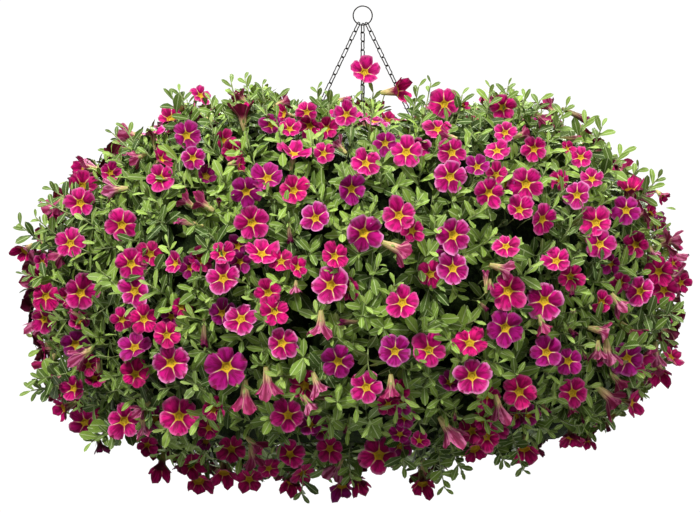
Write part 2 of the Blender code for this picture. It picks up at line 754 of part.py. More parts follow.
def build_ring(group, material):
    ring = torus("HangerRing", RING_RADIUS, RING_WIRE, 22, 6, group)
    ring.data.transform(Matrix.Translation((0.0, 0.0, RING_CENTRE_Z)) @ Matrix.Rotation(math.pi / 2, 4, "X"))
    ring.data.materials.append(material)
    smooth_shade(ring, 60.0)


def chain_line(name):
    """A chain's top point on its line, its direction down, its length and its first link's face."""
    angle = math.radians(CHAIN_TOP_ANGLES[name])
    on_ring = Vector((RING_RADIUS * math.cos(angle), 0.0, RING_CENTRE_Z + RING_RADIUS * math.sin(angle)))
    hole = direction(CHAIN_AZIMUTHS[name], HOOK_HOLE_PLACE, RIM_Z)
    down = (hole - on_ring).normalized()
    top = on_ring - down * (RING_WIRE + LINK_WIRE + TOUCH_GAP * 1.5)
    length = (hole - top).length - HOOK_LENGTH
    tangent = Vector((-math.sin(angle), 0.0, math.cos(angle)))
    face = (tangent - down * tangent.dot(down)).normalized()
    return top, down, length, Matrix.Rotation(math.radians(LINK_TWIST), 3, down) @ face


def build_chain(name, group, scrap, material):
    """One chain: long wire links, each turned a quarter from the last, joined where they bear."""
    top, down, length, face = chain_line(name)
    pitch = length / LINK_COUNT
    half_width = LINK_WIDTH / 2
    stretch = (pitch + LINK_OVERLAP) / 2 - half_width
    chain = None
    for i in range(LINK_COUNT):
        link = torus(f"Link_{name}_{i}", half_width * math.sqrt(2.0), LINK_WIRE, 4, 3, scrap)
        link.data.transform(Matrix.Rotation(math.pi / 4, 4, "Z"))
        for vert in link.data.vertices:
            vert.co.y += math.copysign(stretch, vert.co.y)
        normal = Matrix.Rotation(math.pi / 2 * (i % 2), 3, down) @ face
        across = down.cross(normal)
        turn = Matrix((across, down, across.cross(down))).transposed().to_4x4()
        centre = top + down * (pitch * (i + 0.5) + LINK_OVERLAP / 2)
        link.data.transform(Matrix.Translation(centre) @ turn)
        if chain is None:
            chain = link
    chain.name = f"Chain_{name}"
    chain.data.name = chain.name
    scrap.objects.unlink(chain)
    group.objects.link(chain)
    chain.data.materials.append(material)
    join_all(chain, scrap)
    bottom = top + down * (length + LINK_OVERLAP / 2)
    last = Matrix.Rotation(math.pi / 2 * ((LINK_COUNT - 1) % 2), 3, down) @ face
    return bottom, down, last


def build_hook(name, bottom, down, last, group, material):
    """A wire hook over the last link, through its hole in the rim and up round the rim's edge."""
    arc = LINK_WIRE + HOOK_WIRE + 2.0 * TOUCH_GAP
    points = []
    for step in range(6):
        angle = math.radians(-110.0 + 40.0 * step)
        points.append(bottom + arc * (math.cos(angle) * -down + math.sin(angle) * last))
    under = RIM_Z - RIM_THICKNESS - HOOK_WIRE - TOUCH_GAP
    outside = RIM_RADIUS + HOOK_WIRE + 2.0 * TOUCH_GAP
    route = [
        (HOOK_HOLE_PLACE, RIM_Z + 0.006), (HOOK_HOLE_PLACE, RIM_Z - 0.0030),
        (HOOK_HOLE_PLACE + 0.0004, under + 0.0006), (HOOK_HOLE_PLACE + 0.0014, under),
        (outside - 0.0012, under), (outside - 0.0002, under + 0.0008), (outside, RIM_Z + 0.002),
    ]
    points += [direction(CHAIN_AZIMUTHS[name], r, z) for r, z in route]
    hook = curve_tube(f"Hook_{name}", points, HOOK_WIRE, group, 1)
    hook.data.materials.append(material)
    smooth_shade(hook, 60.0)


def cylinder(name, place, radius, depth, sides, group):
    """An upright cylinder whose middle is at place."""
    verts, faces = take_bmesh(
        lambda shape: bmesh.ops.create_cone(shape, cap_ends=True, segments=sides, radius1=radius,
                                            radius2=radius, depth=depth)
    )
    return mesh_object(name, [place + Vector(v) for v in verts], faces, group)


def build_pot(group, scrap, material):
    """A tapered plastic pot with a flat rim, three hook holes and drain holes in its floor."""
    floor = RIM_Z - POT_DEPTH
    profile = [
        (0.0, floor + POT_WALL), (POT_INNER_BASE, floor + POT_WALL), (POT_INNER_TOP, RIM_Z),
        (RIM_RADIUS, RIM_Z), (RIM_RADIUS, RIM_Z - RIM_THICKNESS),
        (POT_INNER_TOP + POT_WALL, RIM_Z - RIM_THICKNESS), (POT_INNER_BASE + POT_WALL, floor),
        (0.0, floor),
    ]
    pot = turned("Pot", profile, group, POT_SIDES, material)
    for azimuth in CHAIN_AZIMUTHS.values():
        place = direction(azimuth, HOOK_HOLE_PLACE, RIM_Z - RIM_THICKNESS / 2)
        cylinder("HookHole", place, HOOK_HOLE_RADIUS, 3.0 * RIM_THICKNESS, 8, scrap)
    for i in range(DRAIN_HOLES):
        place = direction(360.0 * i / DRAIN_HOLES, DRAIN_PLACE, floor + POT_WALL / 2)
        cylinder("DrainHole", place, DRAIN_RADIUS, 3.0 * POT_WALL, 8, scrap)
    boolean_with(pot, scrap, "DIFFERENCE")
    smooth_shade(pot)


def build_soil(group, scrap, material):
    """Potting soil that fills the pot, with a plain hole for each stem."""
    top = RIM_Z - SOIL_DROP
    slope = (POT_INNER_TOP - POT_INNER_BASE) / (POT_DEPTH - POT_WALL)
    floor = RIM_Z - POT_DEPTH + POT_WALL + TOUCH_GAP
    fit = TOUCH_GAP * 1.6
    profile = [(0.0, top + 0.003), (0.060, top + 0.002), (POT_INNER_TOP - SOIL_DROP * slope - fit, top),
               (POT_INNER_BASE - fit, floor), (0.0, floor)]
    soil = turned("Soil", profile, group, POT_SIDES, material)
    for place in stem_places():
        middle = place + Vector((0.0, 0.0, top - STEM_HOLE_DEPTH / 2 + 0.005))
        cylinder("StemHole", middle, STEM_RADIUS + 0.0010, STEM_HOLE_DEPTH + 0.010, 6, scrap)
    boolean_with(soil, scrap, "DIFFERENCE")
    smooth_shade(soil)


# The centre spray, between the chains: x, y, z and width of each bloom, and its kind
CENTRE_BLOOMS = [
    (0.002, -0.013, -0.061, 0.029, "T"), (0.016, 0.004, -0.096, 0.014, "B"),
    (-0.026, 0.012, -0.104, 0.026, "F"), (0.024, 0.020, -0.108, 0.026, "T"),
    (0.000, -0.034, -0.112, 0.028, "F"), (-0.004, 0.036, -0.110, 0.024, "T"),
]
CENTRE_ROSETTES = [(0.010, 0.000, -0.082), (-0.009, -0.006, -0.088), (0.022, -0.014, -0.108)]
CENTRE_CORE_MIDDLE = -0.180
CENTRE_CORE_RADIUS = 0.030
CENTRE_CORE_HALF = 0.052


def build_centre(group, scrap, material):
    """The spray that stands in the middle of the pot and reaches up between the chains."""
    verts, faces = take_bmesh(
        lambda shape: bmesh.ops.create_uvsphere(shape, u_segments=8, v_segments=5, radius=1.0)
    )
    scale = Vector((CENTRE_CORE_RADIUS, CENTRE_CORE_RADIUS, CENTRE_CORE_HALF))
    middle = Vector((0.0, 0.0, CENTRE_CORE_MIDDLE))
    core = mesh_object("CentreSpray", [middle + Vector(v) * scale for v in verts], faces, group, material)
    shape = bmesh.new()
    shape.from_mesh(core.data)
    tree = BVHTree.FromBMesh(shape)
    shape.free()
    draw = random.Random(SEED + 99)
    target = Vector((0.0, 0.0, CENTRE_CORE_MIDDLE + 0.010))
    shapes = []
    for x, y, z, width, kind in CENTRE_BLOOMS:
        place = Vector((x, y, z))
        root = root_in(tree, place, target)
        tube = (place - root).normalized()
        normal = (tube + Vector((0.0, -0.7, 0.0)) * LEAN_FRONT[kind]).normalized()
        if kind == "B":
            shapes.append(bud_shape(place, normal, 0.008, 0.004, root))
        else:
            shapes.append(bloom_shape(place, normal, 0.52 * width, root, draw.uniform(0.0, 6.0)))
    for x, y, z in CENTRE_ROSETTES:
        place = Vector((x, y, z))
        root = root_in(tree, place, target)
        axis = (place - root).normalized()
        side = axis.cross(Vector((1.0, 0.2, 0.1))).normalized()
        shapes.append(stalk_shape(root, place, 0.0013))
        for i in range(ROSETTE_LEAVES):
            aim = (axis * 0.6 + Matrix.Rotation(math.radians(137.5 * i), 3, axis) @ side).normalized()
            foot = place - axis * (0.0015 + 0.003 * i) - aim * 0.0006
            shapes.append(leaf_shape(foot, aim, axis, LEAF_LENGTH * 0.75))
    add_pieces(shapes, scrap, "Centre")
    add_stem(Vector((0.0, 0.0, 0.0)), CENTRE_CORE_MIDDLE, scrap)
    join_all(core, scrap)


def main():
    clear_scene()
    parts = new_collection("CalibrachoaBasket")
    scrap = new_collection("Cutters")
    leaf_green = make_material("LeafGreen", (0.10, 0.20, 0.05), 0.6)
    dark_wire = make_material("DarkWire", (0.03, 0.03, 0.03), 0.45, 0.9)
    pot_plastic = make_material("PotPlastic", (0.02, 0.035, 0.02), 0.5)
    soil_brown = make_material("SoilBrown", (0.05, 0.03, 0.02), 0.95)
    build_ring(parts, dark_wire)
    for name in CHAIN_AZIMUTHS:
        bottom, down, last = build_chain(name, parts, scrap, dark_wire)
        build_hook(name, bottom, down, last, parts, dark_wire)
    build_pot(parts, scrap, pot_plastic)
    build_soil(parts, scrap, soil_brown)
    build_centre(parts, scrap, leaf_green)
    build_boughs(parts, scrap, leaf_green)
    bpy.data.collections.remove(scrap)


main()
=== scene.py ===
"""Looks of the calibrachoa hanging basket: ring, three chains, hooks, pot, soil and the plant.

Metres, +Z up, the same frame as the solids: the ring's inner top is the origin and -Y the front.
"""
import math

import bpy
import numpy as np
from mathutils import Matrix, Vector


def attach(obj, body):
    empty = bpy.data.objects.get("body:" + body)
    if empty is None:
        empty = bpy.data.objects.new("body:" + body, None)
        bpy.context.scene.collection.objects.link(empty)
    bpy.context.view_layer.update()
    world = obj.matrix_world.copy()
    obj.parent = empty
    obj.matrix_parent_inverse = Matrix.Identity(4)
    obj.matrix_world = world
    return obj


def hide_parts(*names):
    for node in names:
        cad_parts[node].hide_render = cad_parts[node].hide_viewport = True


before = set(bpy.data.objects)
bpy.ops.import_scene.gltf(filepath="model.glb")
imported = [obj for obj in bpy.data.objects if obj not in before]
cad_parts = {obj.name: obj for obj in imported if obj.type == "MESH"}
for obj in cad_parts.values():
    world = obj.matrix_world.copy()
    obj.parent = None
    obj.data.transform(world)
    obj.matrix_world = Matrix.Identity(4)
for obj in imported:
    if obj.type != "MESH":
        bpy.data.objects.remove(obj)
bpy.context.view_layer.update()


# Studio
# A level camera far in front of the basket, so that near and far blooms keep their size. Soft
# light comes from above and in front, and a fill from behind. A pale floor lies well below,
# out of the camera's view.
PIXEL = 0.00095
ORIGIN_PIXEL = (362.7, 6.8)
PICTURE_MIDDLE = (350.0, 256.0)
PICTURE_WIDTH = 700
CAMERA_DISTANCE = 8.0
SENSOR_WIDTH = 36.0
FLOOR_HEIGHT = -1.15
FLOOR_RADIUS = 11.0
FLOOR_SIDES = 96


def from_pixel(px, py):
    """Place across and up, in metres, of a pixel on the plane through the ring."""
    return (px - ORIGIN_PIXEL[0]) * PIXEL, -(py - ORIGIN_PIXEL[1]) * PIXEL


view_x, view_z = from_pixel(*PICTURE_MIDDLE)
camera_data = bpy.data.cameras.new("Camera")
camera_data.sensor_width = SENSOR_WIDTH
camera_data.lens = SENSOR_WIDTH * CAMERA_DISTANCE / (PICTURE_WIDTH * PIXEL)
camera_data.clip_end = 60.0
camera = bpy.data.objects.new("Camera", camera_data)
camera.location = (view_x, -CAMERA_DISTANCE, view_z)
camera.rotation_euler = (math.pi / 2, 0.0, 0.0)
bpy.context.scene.collection.objects.link(camera)
bpy.context.scene.camera = camera
bpy.context.scene.view_settings.view_transform = "Standard"


def node(tree, kind, inputs=None, **settings):
    """A shader node with its settings, its inputs set to values or joined to other outputs."""
    made = tree.nodes.new(kind)
    for key, value in settings.items():
        setattr(made, key, value)
    for key, value in (inputs or {}).items():
        if isinstance(value, bpy.types.NodeSocket):
            tree.links.new(value, made.inputs[key])
        else:
            made.inputs[key].default_value = value
    return made


def maths(tree, operation, first, second=0.0, clamp=False):
    return node(tree, "ShaderNodeMath", {0: first, 1: second}, operation=operation,
                use_clamp=clamp).outputs[0]


def times(tree, first, second):
    return maths(tree, "MULTIPLY", first, second)


def fade(tree, value, start, end, low=0.0, high=1.0):
    """A smooth change from low to high as a value goes from start to end."""
    return node(tree, "ShaderNodeMapRange",
                {"Value": value, "From Min": start, "From Max": end, "To Min": low, "To Max": high},
                interpolation_type="SMOOTHSTEP").outputs["Result"]


def blend(tree, share, first, second, way="MIX"):
    """Two colours mixed by a share."""
    made = tree.nodes.new("ShaderNodeMix")
    made.data_type = "RGBA"
    made.blend_type = way
    sockets = {s.identifier: s for s in made.inputs}
    for key, value in (("Factor_Float", share), ("A_Color", first), ("B_Color", second)):
        if isinstance(value, bpy.types.NodeSocket):
            tree.links.new(value, sockets[key])
        else:
            sockets[key].default_value = value if key == "Factor_Float" else (*value, 1.0)
    return next(s for s in made.outputs if s.identifier == "Result_Color")


def new_material(name, roughness=0.6, **sockets):
    """A material with its Principled shader, whose even values sit on the shader's own sockets."""
    material = bpy.data.materials.new(name)
    material.use_nodes = True
    shader = material.node_tree.nodes["Principled BSDF"]
    shader.inputs["Roughness"].default_value = roughness
    for key, value in sockets.items():
        shader.inputs[key.replace("_", " ")].default_value = value
    return material, material.node_tree, shader


def area_light(name, place, target, size, power):
    light = bpy.data.lights.new(name, "AREA")
    light.shape = "DISK"
    light.size = size
    light.energy = power
    item = bpy.data.objects.new(name, light)
    item.location = place
    item.rotation_euler = (Vector(target) - Vector(place)).to_track_quat("-Z", "Y").to_euler()
    bpy.context.scene.collection.objects.link(item)


PLANT_MIDDLE = (-0.007, 0.0, -0.26)
area_light("KeyLight", (-1.5, -3.0, 2.9), PLANT_MIDDLE, 1.0, 225.0)
area_light("TopLight", (0.4, 0.3, 2.6), PLANT_MIDDLE, 1.6, 50.0)
area_light("FrontFill", (2.4, -3.4, 1.2), PLANT_MIDDLE, 2.4, 40.0)
area_light("BackFill", (1.0, 3.4, 2.4), PLANT_MIDDLE, 1.6, 150.0)

world = bpy.data.worlds.new("PaleRoom")
world.use_nodes = True
bpy.context.scene.world = world
sky = world.node_tree
sky.nodes.clear()
seen_sky = node(sky, "ShaderNodeBackground", {"Color": (1.0, 1.0, 1.0, 1.0), "Strength": 1.05})
sky_height = node(sky, "ShaderNodeSeparateXYZ", {
    0: node(sky, "ShaderNodeTexCoord").outputs["Generated"]}).outputs["Z"]
soft_sky = node(sky, "ShaderNodeBackground", {
    "Color": (1.0, 0.99, 0.98, 1.0), "Strength": fade(sky, sky_height, -0.5, 0.8, 0.05, 0.62)})
sky_choice = node(sky, "ShaderNodeMixShader", {
    0: node(sky, "ShaderNodeLightPath").outputs["Is Camera Ray"],
    1: soft_sky.outputs[0], 2: seen_sky.outputs[0]})
node(sky, "ShaderNodeOutputWorld", {"Surface": sky_choice.outputs[0]})


def new_group(name, vectors, values, outputs):
    """A node group: its vector inputs, its number inputs with their values, and its outputs."""
    group = bpy.data.node_groups.new(name, "ShaderNodeTree")
    for key in vectors:
        group.interface.new_socket(key, in_out="INPUT", socket_type="NodeSocketVector")
    for key, value in values.items():
        socket = group.interface.new_socket(key, in_out="INPUT", socket_type="NodeSocketFloat")
        socket.default_value = value
    for key in outputs:
        group.interface.new_socket(key, in_out="OUTPUT", socket_type="NodeSocketFloat")
    return group, node(group, "NodeGroupInput").outputs


def grain_group():
    """Uneven colour, gloss and relief of a natural or worn surface, from its own coordinates."""
    group, given = new_group("SurfaceGrain", (), {"Size": 100.0, "Detail": 4.0, "Low": 0.3, "High": 0.7},
                             ("Mask", "Fine", "Height"))
    place = node(group, "ShaderNodeTexCoord").outputs["Object"]
    broad = node(group, "ShaderNodeTexNoise", {"Vector": place, "Scale": given["Size"],
                                               "Detail": given["Detail"]}).outputs["Fac"]
    fine_size = times(group, given["Size"], 7.3)
    fine = node(group, "ShaderNodeTexNoise", {"Vector": place, "Scale": fine_size,
                                              "Detail": 3.0}).outputs["Fac"]
    mask = fade(group, broad, given["Low"], given["High"])
    height = maths(group, "ADD", times(group, broad, 0.6), times(group, fine, 0.4))
    node(group, "NodeGroupOutput", {"Mask": mask, "Fine": fine, "Height": height})
    return group


surface_grain = grain_group()


def grain(tree, size, detail=4.0, low=0.3, high=0.7):
    return node(tree, "ShaderNodeGroup", {"Size": size, "Detail": detail, "Low": low, "High": high},
                node_tree=surface_grain).outputs


def dress(tree, shader, colour, gloss, height, strength, distance):
    """A shader's colour, its gloss between two values, and a bump of a real height in metres."""
    tree.links.new(colour, shader.inputs["Base Color"])
    if gloss:
        mask, low, high = gloss
        tree.links.new(fade(tree, mask, 0.3, 0.7, low, high), shader.inputs["Roughness"])
    bump = node(tree, "ShaderNodeBump", {"Height": height, "Strength": strength,
                                         "Distance": distance})
    tree.links.new(bump.outputs["Normal"], shader.inputs["Normal"])


def mesh_piece(name, verts, faces, materials):
    """An object of joined vertex and face arrays, shaded smooth."""
    mesh = bpy.data.meshes.new(name)
    mesh.from_pydata(np.asarray(verts).tolist(), [], [tuple(f) for f in faces])
    mesh.update()
    mesh.shade_smooth()
    for material in materials:
        mesh.materials.append(material)
    item = bpy.data.objects.new(name, mesh)
    bpy.context.scene.collection.objects.link(item)
    return item


floor_material, tree, shader = new_material("PaleFloor", 0.75)
paint = grain(tree, 3.0)
pale = blend(tree, paint["Mask"], (0.86, 0.86, 0.855), (0.90, 0.90, 0.895))
# To light bouncing off it the floor is dark grey: painted shade that keeps the basket's underside dark.
bounce = node(tree, "ShaderNodeLightPath").outputs["Is Diffuse Ray"]
dress(tree, shader, blend(tree, bounce, pale, (0.12, 0.12, 0.12)), None, paint["Height"], 0.1, 0.002)
turn = np.linspace(0.0, 2.0 * math.pi, FLOOR_SIDES, endpoint=False)
floor = mesh_piece("Floor", np.stack([FLOOR_RADIUS * np.cos(turn), FLOOR_RADIUS * np.sin(turn),
                                      np.full(FLOOR_SIDES, FLOOR_HEIGHT)], axis=1),
                   [range(FLOOR_SIDES)], [floor_material])


# Hanging ring
# A small ring of round steel wire, bent to a circle and painted black. The basket hangs by the
# ring's inner top, and the three chains hang in its lower half.
RING_RADIUS = 0.00905
RING_WIRE = 0.00062
RING_CENTRE_Z = -0.0083
RING_CUTS = 64

wire_paint, tree, shader = new_material("BlackWirePaint", 0.42, Metallic=0.75)
wear = grain(tree, 900.0, 5.0, 0.52, 0.72)
black = blend(tree, wear["Mask"], (0.022, 0.021, 0.020), (0.075, 0.065, 0.055))
dress(tree, shader, black, (wear["Fine"], 0.34, 0.58), wear["Height"], 0.4, 0.00008)


def wire_mesh(points, radius, sides, closed=False):
    """Round wire along a row of points: vertices, and faces with its ends capped."""
    points = np.asarray(points, dtype=float)
    count = len(points)
    if closed:
        along = np.roll(points, -1, axis=0) - np.roll(points, 1, axis=0)
    else:
        along = np.gradient(points, axis=0)
    along /= np.linalg.norm(along, axis=1)[:, None]
    frames = []
    side = np.cross(along[0], (0.31, 0.17, 0.93))
    for aim in along:
        side = side - aim * side.dot(aim)
        side = side / np.linalg.norm(side)
        frames.append((side, np.cross(aim, side)))
    turn = np.linspace(0.0, 2.0 * math.pi, sides, endpoint=False)
    radii = np.broadcast_to(radius, (count,))
    verts = np.concatenate([
        points[i] + radii[i] * (np.outer(np.cos(turn), frames[i][0]) + np.outer(np.sin(turn), frames[i][1]))
        for i in range(count)])
    faces = []
    for i in range(count if closed else count - 1):
        start, end = i * sides, ((i + 1) % count) * sides
        for j in range(sides):
            k = (j + 1) % sides
            faces.append((start + j, start + k, end + k, end + j))
    if not closed:
        faces.append(tuple(reversed(range(sides))))
        faces.append(tuple((count - 1) * sides + j for j in range(sides)))
    return verts, faces


def joined(shapes):
    """Several (vertices, faces) as one."""
    verts, faces, start = [], [], 0
    for own_verts, own_faces in shapes:
        verts.append(own_verts)
        faces += [tuple(start + v for v in face) for face in own_faces]
        start += len(own_verts)
    return np.concatenate(verts), faces


def settle(piece, slot, *nodes):
    """The piece hangs with the one body and stands for its nodes, which are hidden. Its slot is not used.
    """
    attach(piece, "root")
    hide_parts(*nodes)


turn = np.linspace(0.0, 2.0 * math.pi, RING_CUTS, endpoint=False)
ring_line = np.stack([RING_RADIUS * np.cos(turn), np.zeros(RING_CUTS),
                      RING_CENTRE_Z + RING_RADIUS * np.sin(turn)], axis=1)
settle(mesh_piece("Ring", *wire_mesh(ring_line, RING_WIRE, 12, closed=True), [wire_paint]),
       "wire", "HangerRing")


# Chains
# Three chains of long welded wire links, each turned a quarter from the last. They fan out from
# the ring to the pot's rim, one to the back and one to each side of the front.
CHAIN_AZIMUTHS = {"back": 90.0, "left": 210.0, "right": 330.0}
CHAIN_TOP_ANGLES = {"back": 270.0, "left": 244.0, "right": 296.0}
LINK_COUNT = 17
LINK_WIDTH = 0.0042
LINK_WIRE = 0.00055
CHAIN_WIRE_ROOM = 0.00060
LINK_OVERLAP = 0.0005
LINK_TWIST = 40.0
HOOK_LENGTH = 0.100
TOUCH_GAP = 0.0003
RIM_Z = -0.242
HOOK_HOLE_PLACE = 0.1285


def direction(azimuth, radius=1.0, z=0.0):
    angle = math.radians(azimuth)
    return Vector((radius * math.cos(angle), radius * math.sin(angle), z))


def chain_line(name):
    """A chain's top, its direction down, its length and the way its first link faces."""
    angle = math.radians(CHAIN_TOP_ANGLES[name])
    on_ring = Vector((RING_RADIUS * math.cos(angle), 0.0, RING_CENTRE_Z + RING_RADIUS * math.sin(angle)))
    hole = direction(CHAIN_AZIMUTHS[name], HOOK_HOLE_PLACE, RIM_Z)
    down = (hole - on_ring).normalized()
    top = on_ring - down * (RING_WIRE + CHAIN_WIRE_ROOM + TOUCH_GAP * 1.5)
    length = (hole - top).length - HOOK_LENGTH
    tangent = Vector((-math.sin(angle), 0.0, math.cos(angle)))
    face = (tangent - down * tangent.dot(down)).normalized()
    return top, down, length, Matrix.Rotation(math.radians(LINK_TWIST), 3, down) @ face


def link_outline(length, width):
    """Centre line of one link: two half rounds joined by slightly waisted sides."""
    half = width / 2.0
    run = length / 2.0 - half
    line = []
    for angle in np.radians(np.linspace(-90.0, 90.0, 9)):
        line.append((half * math.sin(angle), run + half * math.cos(angle)))
    for share in (0.25, 0.5, 0.75):
        line.append((half * (1.0 - 0.14 * math.sin(math.pi * share)), run * (1.0 - 2.0 * share)))
    line += [(-x, -y) for x, y in line]
    return np.array(line)


for name in CHAIN_AZIMUTHS:
    top, down, length, face = chain_line(name)
    pitch = length / LINK_COUNT
    outline = link_outline(pitch + 2.6 * LINK_WIRE - LINK_OVERLAP, LINK_WIDTH)
    links = []
    for i in range(LINK_COUNT):
        normal = Matrix.Rotation(math.pi / 2 * (i % 2), 3, down) @ face
        across = down.cross(normal)
        centre = top + down * (pitch * (i + 0.5) + LINK_OVERLAP / 2)
        line = np.array(centre) + np.outer(outline[:, 0], across) + np.outer(outline[:, 1], down)
        links.append(wire_mesh(line, LINK_WIRE, 8, closed=True))
    settle(mesh_piece(f"Chain.{name}", *joined(links), [wire_paint]), "wire", f"Chain_{name}")


# Hooks
# Each chain ends in a straight hanger of the same wire. It is bent over the last link at its
# top, goes down through a hole in the pot's rim and turns up round the rim's edge.
HOOK_WIRE = 0.0009
RIM_RADIUS = 0.136
RIM_THICKNESS = 0.004


def rounded(points, cuts):
    """A smooth curve through a row of points, with some cuts in each span."""
    points = [np.array(p, dtype=float) for p in points]
    ends = [2 * points[0] - points[1]] + points + [2 * points[-1] - points[-2]]
    line = []
    for a, b, c, d in zip(ends, ends[1:], ends[2:], ends[3:]):
        for t in np.arange(cuts) / cuts:
            line.append(0.5 * (2 * b + (c - a) * t + (2 * a - 5 * b + 4 * c - d) * t ** 2
                               + (3 * b - a - 3 * c + d) * t ** 3))
    return np.array(line + [points[-1]])


for name in CHAIN_AZIMUTHS:
    top, down, length, face = chain_line(name)
    last = Matrix.Rotation(math.pi / 2 * ((LINK_COUNT - 1) % 2), 3, down) @ face
    bottom = top + down * (length + LINK_OVERLAP / 2)
    arc = CHAIN_WIRE_ROOM + HOOK_WIRE + 2.0 * TOUCH_GAP
    points = []
    for step in range(6):
        angle = math.radians(-110.0 + 40.0 * step)
        points.append(bottom + arc * (math.cos(angle) * -down + math.sin(angle) * last))
    under = RIM_Z - RIM_THICKNESS - HOOK_WIRE - TOUCH_GAP
    outside = RIM_RADIUS + HOOK_WIRE + 2.0 * TOUCH_GAP
    route = [
        (HOOK_HOLE_PLACE, RIM_Z + 0.006), (HOOK_HOLE_PLACE, RIM_Z - 0.0030),
        (HOOK_HOLE_PLACE + 0.0004, under + 0.0006), (HOOK_HOLE_PLACE + 0.0014, under),
        (outside - 0.0012, under), (outside - 0.0002, under + 0.0008), (outside, RIM_Z + 0.002),
    ]
    straight = direction(CHAIN_AZIMUTHS[name], *route[0])
    head = rounded(points, 3)
    tail = rounded([straight] + [direction(CHAIN_AZIMUTHS[name], r, z) for r, z in route[1:]], 3)
    settle(mesh_piece(f"Hook.{name}", *wire_mesh(np.concatenate([head, tail]), HOOK_WIRE, 8),
                      [wire_paint]), "wire", f"Hook_{name}")


# Pot
# A tapered nursery pot moulded in dark green plastic, with a flat rim, shallow ribs down its
# side, three hook holes and five drain holes in its floor. The plant hides nearly all of it.
pot_plastic, tree, shader = new_material("PotPlastic", 0.5)
moulding = grain(tree, 60.0, 5.0, 0.35, 0.7)
height = node(tree, "ShaderNodeSeparateXYZ",
              {0: node(tree, "ShaderNodeTexCoord").outputs["Object"]}).outputs["Z"]
dust = times(tree, fade(tree, height, -0.26, -0.242), moulding["Mask"])
green = blend(tree, moulding["Mask"], (0.012, 0.022, 0.014), (0.022, 0.036, 0.022))
green = blend(tree, times(tree, dust, 0.5), green, (0.10, 0.085, 0.06))
dress(tree, shader, green, (moulding["Fine"], 0.38, 0.62), moulding["Height"], 0.25, 0.0004)


def refinish(node_name, material):
    """A material of its own on a node that is shown as the solids have it."""
    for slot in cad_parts[node_name].material_slots:
        slot.material = material


refinish("Pot", pot_plastic)


# Soil
# Peaty potting mix that fills the pot to a finger's width under the rim, dark and crumbly,
# with pale grains of perlite.
soil_mix, tree, shader = new_material("PottingMix", 0.95)
crumbs = grain(tree, 240.0, 8.0, 0.35, 0.65)
grains = node(tree, "ShaderNodeTexVoronoi", {
    "Vector": node(tree, "ShaderNodeTexCoord").outputs["Object"], "Scale": 330.0}).outputs
pale = fade(tree, node(tree, "ShaderNodeSeparateColor", {0: grains["Color"]}).outputs[0], 0.90, 0.93)
pale = times(tree, pale, fade(tree, grains["Distance"], 0.45, 0.25))
earth = blend(tree, crumbs["Mask"], (0.018, 0.011, 0.007), (0.070, 0.045, 0.028))
earth = blend(tree, pale, earth, (0.55, 0.53, 0.48))
dress(tree, shader, earth, (crumbs["Fine"], 0.85, 1.0), crumbs["Height"], 0.9, 0.003)
refinish("Soil", soil_mix)


# Inner thicket
# Behind the outer leaves each bough has a lofted sheet painted near black, painted shade that
# stands for the shaded tangle of leaves and stems. It fills the plant from the pot's rim outward
# and is grown as fifteen boughs, one to each stem.
PLANT_MIDDLE_X = PLANT_MIDDLE[0]
DEPTH_OVER_WIDTH = 0.935
# The plant's outline from the side, as (height, distance from its middle)
SIDE_OUTLINE = [
    (-0.072, 0.118), (-0.080, 0.155), (-0.095, 0.187), (-0.120, 0.228), (-0.150, 0.262),
    (-0.180, 0.285), (-0.215, 0.300), (-0.250, 0.306), (-0.300, 0.304), (-0.340, 0.298),
    (-0.375, 0.281), (-0.400, 0.255), (-0.415, 0.222), (-0.430, 0.185), (-0.445, 0.145),
    (-0.458, 0.100),
]
SHOULDER_POINTS = 8
# The upper edge of its crown, as (across, height)
SKYLINE = [
    (-0.230, -0.122), (-0.188, -0.095), (-0.150, -0.079), (-0.112, -0.073), (-0.060, -0.083),
    (-0.017, -0.090), (0.020, -0.098), (0.052, -0.112), (0.083, -0.090), (0.130, -0.079),
    (0.168, -0.094), (0.230, -0.136),
]
BOUGH_COUNT = 15
BOUGH_STEP = 360.0 / BOUGH_COUNT
THICKET_INSET = 0.042
SKIRT_INNER = 0.146
CROWN_RADII = (0.052, 0.085, 0.12, 0.16, 0.19)
SKIRT_HEIGHTS = (-0.165, -0.20, -0.24, -0.28, -0.32, -0.355, -0.385, -0.41)
TUFT = 0.006
TUFTED_ROWS = len(CROWN_RADII) + len(SKIRT_HEIGHTS) + 1
THICKET_CUTS = 9
SEED = 41


def side_radius(z):
    heights, distances = np.array(SIDE_OUTLINE).T
    return float(np.interp(-z, -heights, distances))


def crown_height(x, y):
    """Height of the plant's upper face over a place inside its outline."""
    across = math.hypot(x - PLANT_MIDDLE_X, y / DEPTH_OVER_WIDTH)
    heights, distances = np.array(SIDE_OUTLINE[:SHOULDER_POINTS]).T
    shoulder = float(np.interp(across, distances, heights))
    return min(shoulder, float(np.interp(x, *np.array(SKYLINE).T)))


def surface_point(azimuth, height, inset):
    radius = side_radius(height) - inset
    angle = math.radians(azimuth)
    return Vector((PLANT_MIDDLE_X + radius * math.cos(angle),
                   DEPTH_OVER_WIDTH * radius * math.sin(angle), height))


def bough_names(index):
    """The node and the label of a bough, or of the centre spray past the last."""
    if index == BOUGH_COUNT:
        return "CentreSpray", "centre"
    return f"Bough_{index + 1:02d}", f"{index + 1:02d}"


thicket_green, tree, shader = new_material("ShadedLeaves", 0.9, Specular_IOR_Level=0.05)
tangle = grain(tree, 75.0, 6.0, 0.42, 0.62)
speck = grain(tree, 210.0, 3.0, 0.45, 0.6)
# Painted shade: the thicket sheet is near black, with faintly lighter specks.
painted_shade_green = blend(tree, tangle["Mask"], (0.003, 0.006, 0.002), (0.014, 0.024, 0.006))
painted_shade_green = blend(tree, times(tree, speck["Mask"], 0.4), painted_shade_green, (0.030, 0.048, 0.012))
dress(tree, shader, painted_shade_green, (speck["Fine"], 0.7, 0.95), tangle["Height"], 1.0, 0.006)


